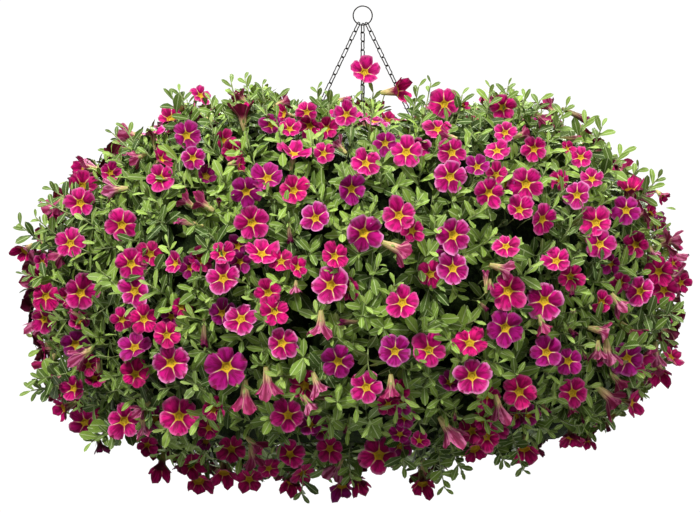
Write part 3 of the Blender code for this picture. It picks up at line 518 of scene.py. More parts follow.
def thicket_rows(azimuth):
    """The thicket's outline in one half plane: (radius, height) from the crown round to the pot."""
    rows = []
    for radius in CROWN_RADII:
        place = direction(azimuth, radius)
        rows.append((radius, crown_height(place.x, place.y) - THICKET_INSET))
    for z in SKIRT_HEIGHTS:
        near = surface_point(azimuth, z, THICKET_INSET)
        rows.append((max(math.hypot(near.x, near.y), SKIRT_INNER + 0.006), z))
    rows += [(SKIRT_INNER, -0.40), (SKIRT_INNER, -0.32), (SKIRT_INNER, RIM_Z + 0.012),
             (0.10, RIM_Z + 0.008), (CROWN_RADII[0], RIM_Z + 0.008)]
    return rows


def thicket_piece(index, noise):
    """A loft across one bough's sector, its surface broken up by tufts."""
    start = CHAIN_AZIMUTHS["back"] + index * BOUGH_STEP
    verts = []
    for share in np.linspace(0.015, 0.985, THICKET_CUTS):
        azimuth = start + share * BOUGH_STEP
        rows = thicket_rows(azimuth)
        for k, (radius, z) in enumerate(rows):
            tuft = noise.uniform(-TUFT, TUFT) if k < TUFTED_ROWS else 0.0
            push = tuft - TUFT * (2.0 * share - 1.0) ** 4
            out = push if k >= len(CROWN_RADII) - 1 else 0.0
            up = push if k < len(CROWN_RADII) else 0.0
            verts.append(tuple(direction(azimuth, radius + out, z + up)))
    count = len(rows)
    last = (THICKET_CUTS - 1) * count
    faces = []
    for first in range(0, last, count):
        for k in range(count):
            j = (k + 1) % count
            faces.append((first + k, first + j, first + count + j, first + count + k))
    faces += [tuple(reversed(range(count))), tuple(last + k for k in range(count))]
    return mesh_piece(f"Thicket.{bough_names(index)[1]}", verts, faces, [thicket_green])


noise = np.random.default_rng(SEED)
for index in range(BOUGH_COUNT):
    settle(thicket_piece(index, noise), "foliage", bough_names(index)[0])


# Blooms: where each one is and how it faces
# The front's blooms sit where the picture shows them, and the other sides are filled evenly by
# one rule. Most are fully open. Some show their side or back, and a few have closed and faded.

# Each row has pixel x and y, width in pixels, lean to the right and up in tenths, kind and shade.
# The kinds are F facing, T turned, S seen from its side, D deep among leaves, and B closed.
# The shades are m magenta, c crimson, p purple, l light, k seen from behind, and w withered.
SEEN_BLOOMS = [
    (83, 168, 25, -9, 1, "Sc"), (82, 185, 24, -1, 2, "Dc"), (80, 203, 33, -2, 1, "Fm"),
    (113, 190, 24, -8, -1, "Sk"), (110, 172, 13, 0, 0, "Dm"), (122, 225, 34, 0, 1, "Fm"),
    (70, 243, 33, 0, 0, "Fm"), (24, 251, 20, -6, -5, "Sc"), (42, 262, 18, -7, 0, "Tm"),
    (50, 238, 12, -5, 3, "Bw"), (131, 264, 34, 0, 0, "Fm"), (150, 254, 20, 0, 0, "Dc"),
    (174, 263, 26, -6, -3, "Tm"), (160, 178, 29, -3, 4, "Tm"), (163, 158, 26, 5, 4, "Tc"),
    (153, 133, 28, -2, 8, "Tl"), (129, 135, 24, -9, 1, "Sk"), (171, 118, 24, -3, 7, "Sc"),
    (187, 135, 33, 0, 0, "Fp"), (201, 95, 24, 3, 4, "Tm"), (193, 158, 26, 2, 1, "Fl"),
    (240, 97, 20, -6, 5, "Sk"), (200, 118, 14, 4, 4, "Bw"), (224, 140, 15, 0, 0, "Dc"),
    (232, 151, 10, 0, 0, "Dc"), (239, 163, 18, 9, 1, "Sc"), (206, 176, 18, 3, 4, "Sw"),
    (137, 158, 18, -6, -3, "Sk"), (397, 91, 26, 9, 1, "Sc"), (346, 114, 28, 0, 0, "Fm"),
    (347, 99, 16, 9, 1, "Bk"), (307, 112, 23, 0, 1, "Fm"), (309, 127, 20, 0, -2, "Dm"),
    (290, 128, 24, 0, 5, "Tm"), (294, 152, 34, 0, 7, "Tm"), (324, 153, 24, 2, 4, "Tm"),
    (271, 124, 15, 0, 3, "Dp"), (285, 102, 20, 7, 3, "Sk"), (284, 114, 18, -8, 2, "Sc"),
    (338, 145, 18, -6, 6, "Sk"), (327, 128, 14, 0, 0, "Dc"), (366, 163, 31, 0, 1, "Fm"),
    (385, 143, 26, 0, 0, "Fp"), (406, 152, 34, 0, 0, "Fm"), (420, 148, 16, 2, 0, "Dl"),
    (438, 128, 28, 0, 7, "Tm"), (267, 177, 35, 0, 0, "Fp"), (444, 104, 32, -1, 1, "Fm"),
    (503, 108, 29, 0, 1, "Fm"), (463, 105, 10, 7, 2, "Sc"), (505, 132, 24, 1, 4, "Tm"),
    (549, 107, 18, -4, 5, "Sk"), (541, 118, 20, 5, -4, "Sk"), (584, 119, 24, 8, -4, "Bw"),
    (524, 134, 18, 8, 3, "Sk"), (497, 150, 28, 1, 4, "Tm"), (534, 149, 27, -1, 3, "Tm"),
    (452, 152, 32, 0, 0, "Fm"), (450, 177, 36, 0, 0, "Fl"), (477, 166, 25, 0, 4, "Tp"),
    (496, 174, 24, 0, 6, "Tc"), (526, 184, 36, 0, 1, "Fm"), (489, 193, 30, 0, 0, "Fm"),
    (568, 148, 17, 2, 4, "Tc"), (581, 157, 24, 2, 3, "Tm"), (577, 138, 15, 9, 0, "Bk"),
    (560, 180, 10, 0, 0, "Dc"), (505, 184, 16, 0, 0, "Dp"), (447, 136, 16, -8, 2, "Sk"),
    (592, 178, 28, 0, 6, "Tm"), (186, 201, 20, -6, 5, "Sk"), (202, 203, 22, -6, 4, "Sk"),
    (181, 221, 20, -9, 2, "Bk"), (246, 192, 32, -1, 0, "Fp"), (219, 201, 12, 0, 5, "Bw"),
    (294, 190, 30, 0, 2, "Fc"), (252, 223, 35, 0, 0, "Fm"), (315, 218, 32, 0, 0, "Fl"),
    (290, 239, 16, 1, -9, "Bw"), (222, 253, 28, 0, 4, "Tc"), (200, 260, 20, 0, 0, "Dc"),
    (223, 278, 37, 0, 1, "Fl"), (262, 252, 33, 0, 4, "Tm"), (281, 261, 26, -1, 3, "Tc"),
    (237, 246, 12, 0, 0, "Dp"), (240, 262, 17, 0, 0, "Dp"), (298, 267, 22, 2, -2, "Tc"),
    (296, 288, 12, 0, -8, "Sk"), (335, 256, 29, 1, 0, "Fc"), (330, 285, 39, 0, 0, "Fl"),
    (268, 293, 30, 0, -2, "Tc"), (190, 268, 10, 0, 0, "Dp"), (352, 189, 31, 0, 0, "Fp"),
    (399, 215, 35, 0, 2, "Fm"), (413, 231, 26, 3, -2, "Tc"), (364, 233, 39, 0, 0, "Fl"),
    (400, 250, 30, 7, -3, "Sk"), (348, 289, 18, 0, 0, "Dc"), (402, 302, 36, 0, 0, "Fm"),
    (454, 235, 40, 0, 1, "Fl"), (447, 250, 16, 0, 0, "Dp"), (431, 274, 29, 1, -1, "Dc"),
    (453, 268, 34, 2, 1, "Fl"), (506, 246, 29, 0, 3, "Fm"), (504, 269, 24, 7, -2, "Sk"),
    (486, 275, 16, 0, 8, "Bk"), (490, 286, 11, 0, -5, "Sk"), (508, 291, 38, 0, 0, "Fm"),
    (520, 209, 28, 0, 3, "Tm"), (544, 220, 32, 3, 1, "Tm"), (577, 195, 29, 0, 0, "Fl"),
    (630, 190, 27, 0, 9, "Sc"), (626, 210, 32, -2, 1, "Fp"), (596, 222, 35, 0, 0, "Fm"),
    (600, 244, 31, 1, 2, "Fm"), (611, 264, 17, 0, 0, "Dp"), (556, 260, 30, 0, 7, "Tm"),
    (571, 277, 28, 5, -1, "Tc"), (544, 301, 38, 0, 0, "Fl"), (662, 196, 14, 6, -6, "Sc"),
    (651, 213, 13, 6, 5, "Sc"), (673, 241, 20, 9, 0, "Sk"), (636, 245, 28, 0, 0, "Dc"),
    (652, 253, 16, 3, -6, "Sk"), (659, 272, 30, 0, 0, "Fc"), (674, 263, 16, 6, 2, "Tc"),
    (682, 283, 22, 6, 0, "Tc"), (640, 291, 33, 0, 0, "Fl"), (664, 290, 28, 0, 0, "Fc"),
    (621, 283, 9, 0, 0, "Dm"), (572, 293, 16, 0, -9, "Bw"), (602, 302, 18, 0, 0, "Dc"),
    (39, 279, 16, -2, 0, "Dc"), (46, 296, 31, -1, 0, "Fc"), (43, 320, 30, -3, 0, "Tm"),
    (44, 350, 25, -7, -2, "Tc"), (81, 293, 36, 0, 0, "Fm"), (67, 298, 14, 0, 0, "Dc"),
    (78, 321, 9, 0, 0, "Dm"), (72, 312, 14, -4, 2, "Bk"), (75, 345, 33, 0, 0, "Dp"),
    (81, 356, 24, -6, -4, "Sk"), (88, 365, 17, 0, 0, "Dc"), (134, 291, 35, 0, 0, "Fl"),
    (122, 320, 26, -2, 0, "Fc"), (144, 319, 31, 0, 0, "Fc"), (134, 346, 36, 0, 5, "Tp"),
    (167, 335, 29, 0, 1, "Fc"), (171, 363, 40, 0, 0, "Fl"), (135, 374, 30, 0, 2, "Tc"),
    (98, 361, 13, 0, 8, "Bc"), (94, 378, 14, 0, 0, "Dc"), (73, 388, 28, -3, 3, "Tm"),
    (181, 307, 11, 0, 0, "Dc"), (171, 317, 12, 0, 0, "Dp"), (52, 338, 9, -3, -3, "Bw"),
    (240, 318, 37, 0, 5, "Tl"), (222, 313, 20, 0, 0, "Dp"), (275, 311, 31, 1, 0, "Fc"),
    (282, 343, 34, 0, 0, "Fl"), (321, 327, 26, 0, -9, "Sk"), (343, 322, 18, -9, 0, "Bw"),
    (204, 342, 22, 0, -9, "Bw"), (227, 367, 44, 0, -1, "Fp"), (268, 385, 27, 1, -8, "Sk"),
    (245, 402, 28, 0, -7, "Sk"), (305, 386, 34, 0, 0, "Dc"), (318, 386, 22, 3, -8, "Sk"),
    (338, 362, 35, 0, 0, "Fp"), (366, 387, 35, 0, 1, "Fm"), (288, 415, 34, 0, 0, "Fm"),
    (310, 406, 16, 4, -7, "Sk"), (212, 406, 14, 0, 0, "Dc"), (328, 398, 15, 9, 0, "Bw"),
    (395, 351, 33, 0, 0, "Fp"), (429, 350, 36, 0, 1, "Fm"), (391, 390, 24, 0, -8, "Sk"),
    (398, 390, 18, 0, 0, "Dc"), (486, 309, 12, 6, -6, "Bw"), (506, 328, 38, 0, 1, "Fp"),
    (470, 342, 37, 0, 5, "Tc"), (472, 376, 38, -1, 1, "Fl"), (450, 382, 13, 0, 0, "Dp"),
    (488, 397, 26, 1, 0, "Dc"), (519, 392, 36, -2, 1, "Fc"), (543, 326, 18, 3, -8, "Sk"),
    (573, 312, 9, 0, 0, "Bk"), (603, 331, 24, 9, -2, "Sk"), (573, 333, 16, 6, -7, "Bw"),
    (546, 352, 34, 0, 0, "Fp"), (568, 361, 30, 2, -1, "Tp"), (585, 358, 10, 3, -8, "Bw"),
    (598, 352, 18, 0, -8, "Sk"), (608, 355, 26, 1, -8, "Sk"), (617, 365, 14, 0, 0, "Dk"),
    (628, 359, 36, 2, -1, "Fp"), (619, 383, 20, 5, -6, "Sk"), (614, 401, 30, 6, -5, "Sk"),
    (634, 403, 30, 6, -3, "Tc"), (655, 357, 24, 0, -8, "Sk"), (672, 356, 28, 6, 1, "Tc"),
    (659, 373, 26, 1, -8, "Sc"), (619, 304, 20, 5, -7, "Sk"), (61, 410, 24, -8, -4, "Sc"),
    (84, 422, 31, -4, -2, "Tm"), (102, 418, 12, 0, 0, "Dc"), (124, 421, 36, -2, 0, "Tm"),
    (101, 448, 16, 3, -9, "Sw"), (139, 411, 18, -5, -4, "Sk"), (147, 430, 24, 3, -8, "Sk"),
    (155, 419, 18, 0, 0, "Dp"), (147, 446, 12, 0, -3, "Dc"), (179, 416, 40, 0, -1, "Fm"),
    (161, 469, 24, -1, -8, "Sc"), (183, 467, 20, 0, -8, "Sk"), (192, 466, 22, 0, -3, "Dc"),
    (199, 484, 28, 1, -7, "Sc"), (208, 428, 18, 0, 0, "Dc"), (213, 410, 16, 0, 0, "Dc"),
    (205, 443, 14, -3, -5, "Sw"), (231, 450, 30, 0, -2, "Dc"), (224, 476, 28, 0, -8, "Sc"),
    (249, 480, 30, 0, -7, "Tc"), (254, 462, 24, 2, -8, "Sk"), (258, 447, 20, 6, -5, "Sk"),
    (269, 469, 24, 3, -6, "Tc"), (290, 454, 31, 0, 2, "Tm"), (303, 474, 28, 3, -4, "Tc"),
    (291, 485, 24, -1, -8, "Sc"), (310, 424, 26, 0, 0, "Dp"), (321, 430, 16, 0, 0, "Dp"),
    (330, 449, 28, 0, -1, "Dc"), (334, 471, 24, -4, -7, "Sk"), (342, 489, 24, 0, -8, "Sp"),
    (360, 485, 22, 3, -8, "Sc"), (345, 431, 9, -3, -8, "Bw"), (379, 455, 41, 0, 0, "Fm"),
    (400, 447, 18, 0, 0, "Dp"), (388, 405, 12, 0, 0, "Dc"), (402, 405, 16, 0, 0, "Dp"),
    (405, 418, 13, 0, 0, "Dp"), (420, 440, 20, 0, 2, "Tm"), (423, 486, 26, 1, -7, "Sc"),
    (452, 435, 28, 5, -7, "Sk"), (455, 418, 10, 0, -8, "Bw"), (472, 431, 22, 0, 0, "Dc"),
    (483, 420, 14, 0, 0, "Dc"), (476, 452, 27, 3, -7, "Sc"), (487, 437, 28, 0, -2, "Tc"),
    (496, 427, 24, 0, 0, "Dm"), (500, 413, 24, 2, -8, "Sk"), (517, 416, 20, 0, 0, "Dp"),
    (529, 415, 18, 0, 0, "Dp"), (525, 452, 27, 1, -8, "Sc"), (572, 441, 28, 0, -9, "Sc"),
    (588, 443, 16, 0, -9, "Sc"), (572, 412, 12, 3, -8, "Sk"), (583, 421, 9, 2, -8, "Bw"),
    (547, 411, 16, 5, -8, "Bw"), (608, 429, 14, 3, -9, "Bw"), (573, 393, 34, 0, 0, "Fm"),
    (400, 434, 12, 0, 0, "Dp"),
]
# The centre spray's blooms, between the chains: x, y, z, width, lean, kind and shade
CENTRE_BLOOMS = [
    (0.002, -0.013, -0.061, 0.030, 1, 5, "Tm"), (0.016, 0.004, -0.093, 0.014, 0, 9, "Bw"),
    (-0.026, 0.012, -0.104, 0.026, -4, 6, "Fm"), (0.024, 0.020, -0.106, 0.026, 3, 8, "Tc"),
    (0.002, -0.036, -0.110, 0.028, 1, 4, "Fl"), (-0.004, 0.036, -0.108, 0.024, 0, 9, "Tp"),
]
# Of each shade: how violet it is, how pale its margin, and how light
SHADES = {"m": (0.30, 0.40, 1.00), "c": (0.04, 0.15, 0.90), "p": (0.85, 0.25, 0.88),
          "l": (0.50, 1.00, 1.00), "k": (0.25, 0.60, 1.00), "w": (0.70, 0.00, 0.32)}
SETBACK = {"F": 0.0, "T": 0.002, "S": 0.002, "D": 0.015, "B": 0.0}
DEEP_BLOOM = 1.35
DEEP_LEAST = 23
DEEP_MOST = 26
TUBE_LENGTH = {"F": 0.95, "T": 0.95, "S": 1.15, "D": 0.95, "B": 4.2}
BUD_SLIMNESS = 0.5
LEAN_STRAY = 1.8
HIDDEN_BLOOMS = 360
HIDDEN_SPACING = 0.029
HIDDEN_KINDS = {"F": 0.42, "T": 0.26, "S": 0.16, "D": 0.12, "B": 0.04}
HIDDEN_SHADES = {"m": 0.36, "c": 0.24, "p": 0.16, "l": 0.14, "k": 0.08, "w": 0.02}
HIDDEN_DROOP = {"F": 0.15, "T": 0.05, "S": -0.75, "D": 0.1, "B": -0.6}
OPEN_WIDTHS = (0.028, 0.037)
SIDE_WIDTHS = (0.018, 0.027)
# Pixels that a hidden side's bloom keeps clear of the outline, by where it grows
CROWN_ROOM = 22.0
FRONT_ROOM = 18.0
LOW_ROOM = 14.0
SIDE_ROOM = 8.0
CROWN_EDGE = -0.125
CROWN_FOOT = -0.13
MASS_MIDDLE_Z = -0.250
CENTRE_RADIUS = 0.050
INWARD_STEP = 0.003
MOST_TRIES = 9000
# Steps that spread a row of places evenly over a square
EVEN_STEPS = (0.7548776662, 0.5698402910)
# The plant's upper and lower outline in the picture, as (pixel across, pixel down)
TOP_LINE = [
    (8, 300), (20, 262), (30, 240), (42, 210), (55, 185), (75, 166), (95, 150), (120, 130),
    (165, 122), (173, 96), (200, 90), (208, 101), (232, 100), (242, 83), (268, 83), (284, 102),
    (322, 103), (332, 94), (385, 98), (391, 119), (403, 118), (409, 96), (450, 90), (458, 102),
    (481, 102), (488, 85), (515, 85), (526, 97), (560, 107), (568, 124), (600, 127), (612, 148),
    (638, 174), (650, 205), (668, 217), (680, 250), (691, 290),
]
BOTTOM_LINE = [
    (8, 300), (27, 335), (35, 385), (50, 415), (75, 433), (135, 437), (150, 461), (178, 478),
    (200, 491), (222, 484), (255, 480), (282, 480), (292, 492), (312, 479), (334, 480), (343, 497),
    (358, 493), (366, 469), (406, 467), (413, 490), (440, 488), (452, 458), (498, 455), (516, 467),
    (535, 467), (548, 424), (563, 421), (572, 450), (592, 447), (602, 434), (625, 414), (645, 402),
    (656, 376), (680, 364), (691, 290),
]


def outward(place):
    """Unit vector out of the plant's mass at a place near its face."""
    away = place - Vector((PLANT_MIDDLE_X, 0.0, MASS_MIDDLE_Z))
    away = Vector((away.x, away.y / DEPTH_OVER_WIDTH, away.z * 1.25))
    if place.z > CROWN_EDGE:
        away.z += 0.6 * away.length
    return away.normalized()


def front_place(px, py):
    """The place on the plant's front face that a pixel of the picture shows."""
    x, z = from_pixel(px, py)
    y = 0.0
    for _ in range(3):
        nearer = (CAMERA_DISTANCE + y) / CAMERA_DISTANCE
        own_x, own_z = view_x + (x - view_x) * nearer, view_z + (z - view_z) * nearer
        radius = side_radius(own_z)
        share = min(abs(own_x - PLANT_MIDDLE_X) / radius, 0.985)
        y = -DEPTH_OVER_WIDTH * radius * math.sqrt(1.0 - share * share)
    return Vector((own_x, y, own_z))


def inside_outline(points, room):
    """Which of some points the picture shows inside the plant's outline, by some pixels."""
    points = np.atleast_2d(points)
    nearer = CAMERA_DISTANCE / (CAMERA_DISTANCE + points[:, 1])
    px = ORIGIN_PIXEL[0] + (view_x + (points[:, 0] - view_x) * nearer) / PIXEL
    py = ORIGIN_PIXEL[1] - (view_z + (points[:, 2] - view_z) * nearer) / PIXEL
    return ((py > np.interp(px, *np.array(TOP_LINE).T) + room)
            & (py < np.interp(px, *np.array(BOTTOM_LINE).T) - room))


def drawn_in(place, room):
    """The place moved into the mass, by 3 mm at a time, until the outline holds it."""
    inward = -outward(place)
    for _ in range(12):
        if inside_outline(place, room)[0]:
            break
        place = place + inward * INWARD_STEP
    return place


def bough_of(place):
    """The bough that a place belongs to, or the centre spray's number past the last."""
    if math.hypot(place[0], place[1]) < CENTRE_RADIUS:
        return BOUGH_COUNT
    azimuth = math.degrees(math.atan2(place[1], place[0]))
    return int(((azimuth - CHAIN_AZIMUTHS["back"]) % 360.0) // BOUGH_STEP)


def face_meridian(count=2000):
    """Points down the plant's outline, set so that each stands for the same area of its face."""
    rows = np.array([(CENTRE_RADIUS, -0.072)] + [(r, z) for z, r in SIDE_OUTLINE])
    along = np.concatenate([[0.0], np.cumsum(np.hypot(*np.diff(rows, axis=0).T))])
    fine = np.linspace(0.0, along[-1], 4 * count)
    radius, z = np.interp(fine, along, rows[:, 0]), np.interp(fine, along, rows[:, 1])
    area = np.cumsum(radius)
    wanted = np.interp(np.linspace(area[0], area[-1], count), area, np.arange(4 * count))
    return [(radius[int(w)], z[int(w)]) for w in wanted]


MERIDIAN = face_meridian()


def even_place(i, step=0):
    """The i-th of a row of places spread evenly over the plant's whole face."""
    share, turn = ((0.5 + (i + step) * part) % 1.0 for part in EVEN_STEPS)
    radius, z = MERIDIAN[int(share * (len(MERIDIAN) - 1))]
    place = direction(360.0 * turn, radius)
    place = Vector((PLANT_MIDDLE_X + place.x, DEPTH_OVER_WIDTH * place.y, z))
    if z > CROWN_FOOT:
        place.z = crown_height(place.x, place.y)
    return place


def seen_facing(right, up, shade, stray=(0.0, 0.0)):
    """A facing from its lean in the picture. A bloom seen from behind turns a little away."""
    right, up = right + stray[0], up + stray[1]
    toward = math.sqrt(max(1.0 - (right ** 2 + up ** 2) / 100.0, 0.03))
    return Vector((right / 10.0, 0.15 if shade == "k" else -toward, up / 10.0)).normalized()


def hidden_facing(place, kind, draw):
    """Outward and up for an open bloom; drooping for one on its side."""
    droop = 0.3 if place.z > -0.14 and kind == "S" else HIDDEN_DROOP[kind]
    stray = Vector(draw.uniform(-1.0, 1.0, 3)) * (0.18 if kind == "F" else 0.42)
    return (outward(place) * 0.9 + Vector((0.0, 0.0, droop)) + stray).normalized()


def bloom_row(centre, facing, width, kind, shade, seen):
    """A bloom's centre, facing, radius, kind, bough, shade, and whether the picture shows it."""
    radius = width / 2.0 * (BUD_SLIMNESS if kind == "B" else 1.0)
    return centre, facing, radius, kind, bough_of(centre), SHADES[shade], seen


def seen_bloom(px, py, width, right, up, kind, shade, draw):
    stray = draw.normal(0.0, (LEAN_STRAY, LEAN_STRAY)) + (0.0, 0.7) if kind in "FTD" else (0.0, 0.0)
    facing = seen_facing(right, up, shade, stray)
    if kind == "D" and width < DEEP_MOST:
        width = max(width * DEEP_BLOOM, DEEP_LEAST)
    centre = front_place(px, py) + Vector((0.0, SETBACK[kind] + draw.uniform(-0.004, 0.003), 0.0))
    if kind == "S":
        centre += Vector((facing.x, 0.0, facing.z)) * (width * PIXEL / 2.0) * (0.15 if py < 400 else -0.10)
    return bloom_row(centre, facing, width * PIXEL, kind, shade, True)


def hidden_bloom(place, in_front, draw):
    kind = str(draw.choice(list(HIDDEN_KINDS), p=list(HIDDEN_KINDS.values())))
    width = draw.uniform(*(OPEN_WIDTHS if kind in "FTD" else SIDE_WIDTHS))
    shade = str(draw.choice(list(HIDDEN_SHADES), p=list(HIDDEN_SHADES.values())))
    if place.z < -0.40 and shade in "lk":
        shade = "c"
    centre = place - outward(place) * (SETBACK[kind] - draw.uniform(-0.002, 0.005))
    room = LOW_ROOM if place.z < -0.36 else SIDE_ROOM
    if in_front:
        room = FRONT_ROOM
    if place.z > CROWN_EDGE and place.y < 0.10:
        room = CROWN_ROOM
    facing = hidden_facing(place, kind, draw)
    if in_front:
        facing = (facing + Vector((0.0, 0.35, 0.0))).normalized()
    return bloom_row(drawn_in(centre, room), facing, width, kind, shade, False)


def plan_blooms():
    """The rows of all blooms: the picture's, the centre spray's, and those of the other sides."""
    draw = np.random.default_rng(SEED + 7)
    blooms = []
    for px, py, width, right, up, (kind, shade) in SEEN_BLOOMS:
        blooms.append(seen_bloom(px, py, width, right, up, kind, shade, draw))
    for x, y, z, width, right, up, (kind, shade) in CENTRE_BLOOMS:
        facing = seen_facing(right, up, shade)
        blooms.append(bloom_row(Vector((x, y, z)), facing, width, kind, shade, True))
    wanted = len(blooms) + HIDDEN_BLOOMS
    for i in range(MOST_TRIES):
        if len(blooms) == wanted:
            break
        place = even_place(i)
        in_front = place.y < 0.02 and place.z < CROWN_EDGE
        if in_front and (abs(outward(place).x) < 0.84 or place.y < -0.16):
            continue
        spacing = HIDDEN_SPACING * (0.85 if in_front else 1.0)
        if all((place - row[0]).length >= spacing for row in blooms):
            blooms.append(hidden_bloom(place, in_front, draw))
    return blooms


blooms = plan_blooms()


# Leaves and stems
# Small soft leaves, spoon shaped with a pale midrib and margin, grow along thin green stems and
# crowd into rosettes at the tips. New tips are lime green and old leaves darker, and leaves far
# inside the plant, far down their shoot and low on it get painted shade as well.
def tint_of(tree):
    """The three values painted on a piece. The third is how much daylight it gets."""
    painted = node(tree, "ShaderNodeAttribute", attribute_name="tint").outputs["Color"]
    return node(tree, "ShaderNodeSeparateColor", {0: painted}).outputs


def in_daylight(tree, colour, daylight):
    """A colour with painted shade, darkened where little daylight gets in."""
    grey = blend(tree, daylight, (0.0, 0.0, 0.0), (1.0, 1.0, 1.0))
    return blend(tree, 1.0, colour, grey, "MULTIPLY")


leaf_green, tree, shader = new_material("Leaf", 0.55, Specular_IOR_Level=0.20)
blade = node(tree, "ShaderNodeSeparateXYZ", {0: node(tree, "ShaderNodeUVMap", uv_map="Blade").outputs[0]})
tint = tint_of(tree)
off_rib = maths(tree, "ABSOLUTE", maths(tree, "SUBTRACT", blade.outputs["X"], 0.5))
mottle = grain(tree, 260.0, 3.0, 0.35, 0.65)
green = blend(tree, tint[0], (0.040, 0.088, 0.005), (0.350, 0.540, 0.070))
green = blend(tree, tint[1], green, (0.520, 0.700, 0.160))
green = blend(tree, times(tree, mottle["Mask"], 0.25), green, (0.100, 0.190, 0.030))
rib = fade(tree, off_rib, 0.065, 0.015)
vein_run = maths(tree, "SUBTRACT", blade.outputs["Y"], times(tree, off_rib, 0.8))
vein_wave = maths(tree, "SINE", times(tree, vein_run, 44.0))
vein = times(tree, fade(tree, vein_wave, 0.7, 1.0), fade(tree, off_rib, 0.48, 0.3))
margin = fade(tree, off_rib, 0.40, 0.495)
light = maths(tree, "MAXIMUM", times(tree, rib, 0.65), times(tree, margin, 0.80))
light = maths(tree, "MAXIMUM", light, times(tree, vein, 0.15))
green = blend(tree, light, green, (0.680, 0.810, 0.400))
groove = maths(tree, "ADD", times(tree, mottle["Height"], 0.5),
               times(tree, maths(tree, "ADD", rib, vein), -0.5))
dress(tree, shader, in_daylight(tree, green, tint[2]), (mottle["Fine"], 0.38, 0.60), groove, 0.5, 0.0005)

LEAF_STATIONS = np.array([0.0, 0.27, 0.59, 0.86])
LEAF_WIDTHS = np.array([0.13, 0.60, 1.0, 0.74])


def leaf_template():
    """Places (along, across) of one blade's vertices, and its faces."""
    places = [(t, w * side) for t, w in zip(LEAF_STATIONS, LEAF_WIDTHS) for side in (-1.0, 0.0, 1.0)]
    places.append((1.0, 0.0))
    faces = []
    for a in range(0, 3 * (len(LEAF_STATIONS) - 1), 3):
        faces += [(a, a + 1, a + 4, a + 3), (a + 1, a + 2, a + 5, a + 4)]
    last, tip = len(places) - 4, len(places) - 1
    faces += [(last, last + 1, tip), (last + 1, last + 2, tip)]
    return np.array(places), faces


LEAF_PLACES, LEAF_FACES = leaf_template()


def unit(vectors):
    return vectors / np.maximum(np.linalg.norm(vectors, axis=-1, keepdims=True), 1e-9)


def leaf_blades(foot, aim, up, length, width, droop, cup):
    """Vertices of many blades: drawn from the foot along aim, cupped, and bowed down at the tip."""
    aim = unit(aim)
    across = unit(np.cross(up, aim))
    lift = np.cross(aim, across)
    t, w = LEAF_PLACES[:, 0], LEAF_PLACES[:, 1]
    along = length[:, None] * t
    wide = 0.5 * width[:, None] * w
    high = cup[:, None] * width[:, None] * (w ** 2) * 0.5 - droop[:, None] * length[:, None] * t ** 2
    return (foot[:, None] + aim[:, None] * along[..., None] + across[:, None] * wide[..., None]
            + lift[:, None] * high[..., None])


def paint_tint(mesh, colours):
    layer = mesh.color_attributes.new("tint", "FLOAT_COLOR", "POINT")
    rgba = np.ones((len(mesh.vertices), 4))
    rgba[:, :3] = colours
    layer.data.foreach_set("color", rgba.ravel())


def lay_map(mesh, name, per_corner):
    layer = mesh.uv_layers.new(name=name)
    layer.data.foreach_set("uv", np.asarray(per_corner, dtype=float).ravel())


def in_cells(own, count, wide):
    """The flat map of a piece: the corners of each leaf or bloom in a cell of its own."""
    columns = math.ceil(math.sqrt(count / wide))
    rows = math.ceil(count / columns)
    places = [(wide * (index % columns), index // columns) for index in range(count)]
    return np.concatenate([(own + place) / (wide * columns, rows) for place in places])


LEAF_CELL_EDGE = 0.06
# What is kept of each leaf, in the order of its row's columns
LEAF_COLUMNS = {"foot": 3, "aim": 3, "up": 3, "length": 1, "width": 1, "droop": 1, "cup": 1,
                "tint": 3, "free": 1}


def leaf_columns(leaves):
    """An array of leaves as named columns."""
    columns, start = {}, 0
    for name, size in LEAF_COLUMNS.items():
        columns[name] = leaves[:, start] if size == 1 else leaves[:, start:start + size]
        start += size
    return columns


def leaves_piece(name, rows):
    """One object of all the leaves of a bough."""
    verts = leaf_blades(*(rows[key] for key in ("foot", "aim", "up", "length", "width", "droop", "cup")))
    count, own = verts.shape[:2]
    faces = [tuple(k * own + v for v in face) for k in range(count) for face in LEAF_FACES]
    item = mesh_piece(name, verts.reshape(-1, 3), faces, [leaf_green])
    corners = [(0.5 + 0.5 * LEAF_PLACES[v, 1], LEAF_PLACES[v, 0]) for face in LEAF_FACES for v in face]
    lay_map(item.data, "Blade", np.tile(corners, (count, 1)))
    shrunk = LEAF_CELL_EDGE + (1.0 - 2.0 * LEAF_CELL_EDGE) * np.array(corners)
    lay_map(item.data, "OFBake", in_cells(shrunk, count, 1))
    paint_tint(item.data, np.repeat(rows["tint"], own, axis=0))
    return item


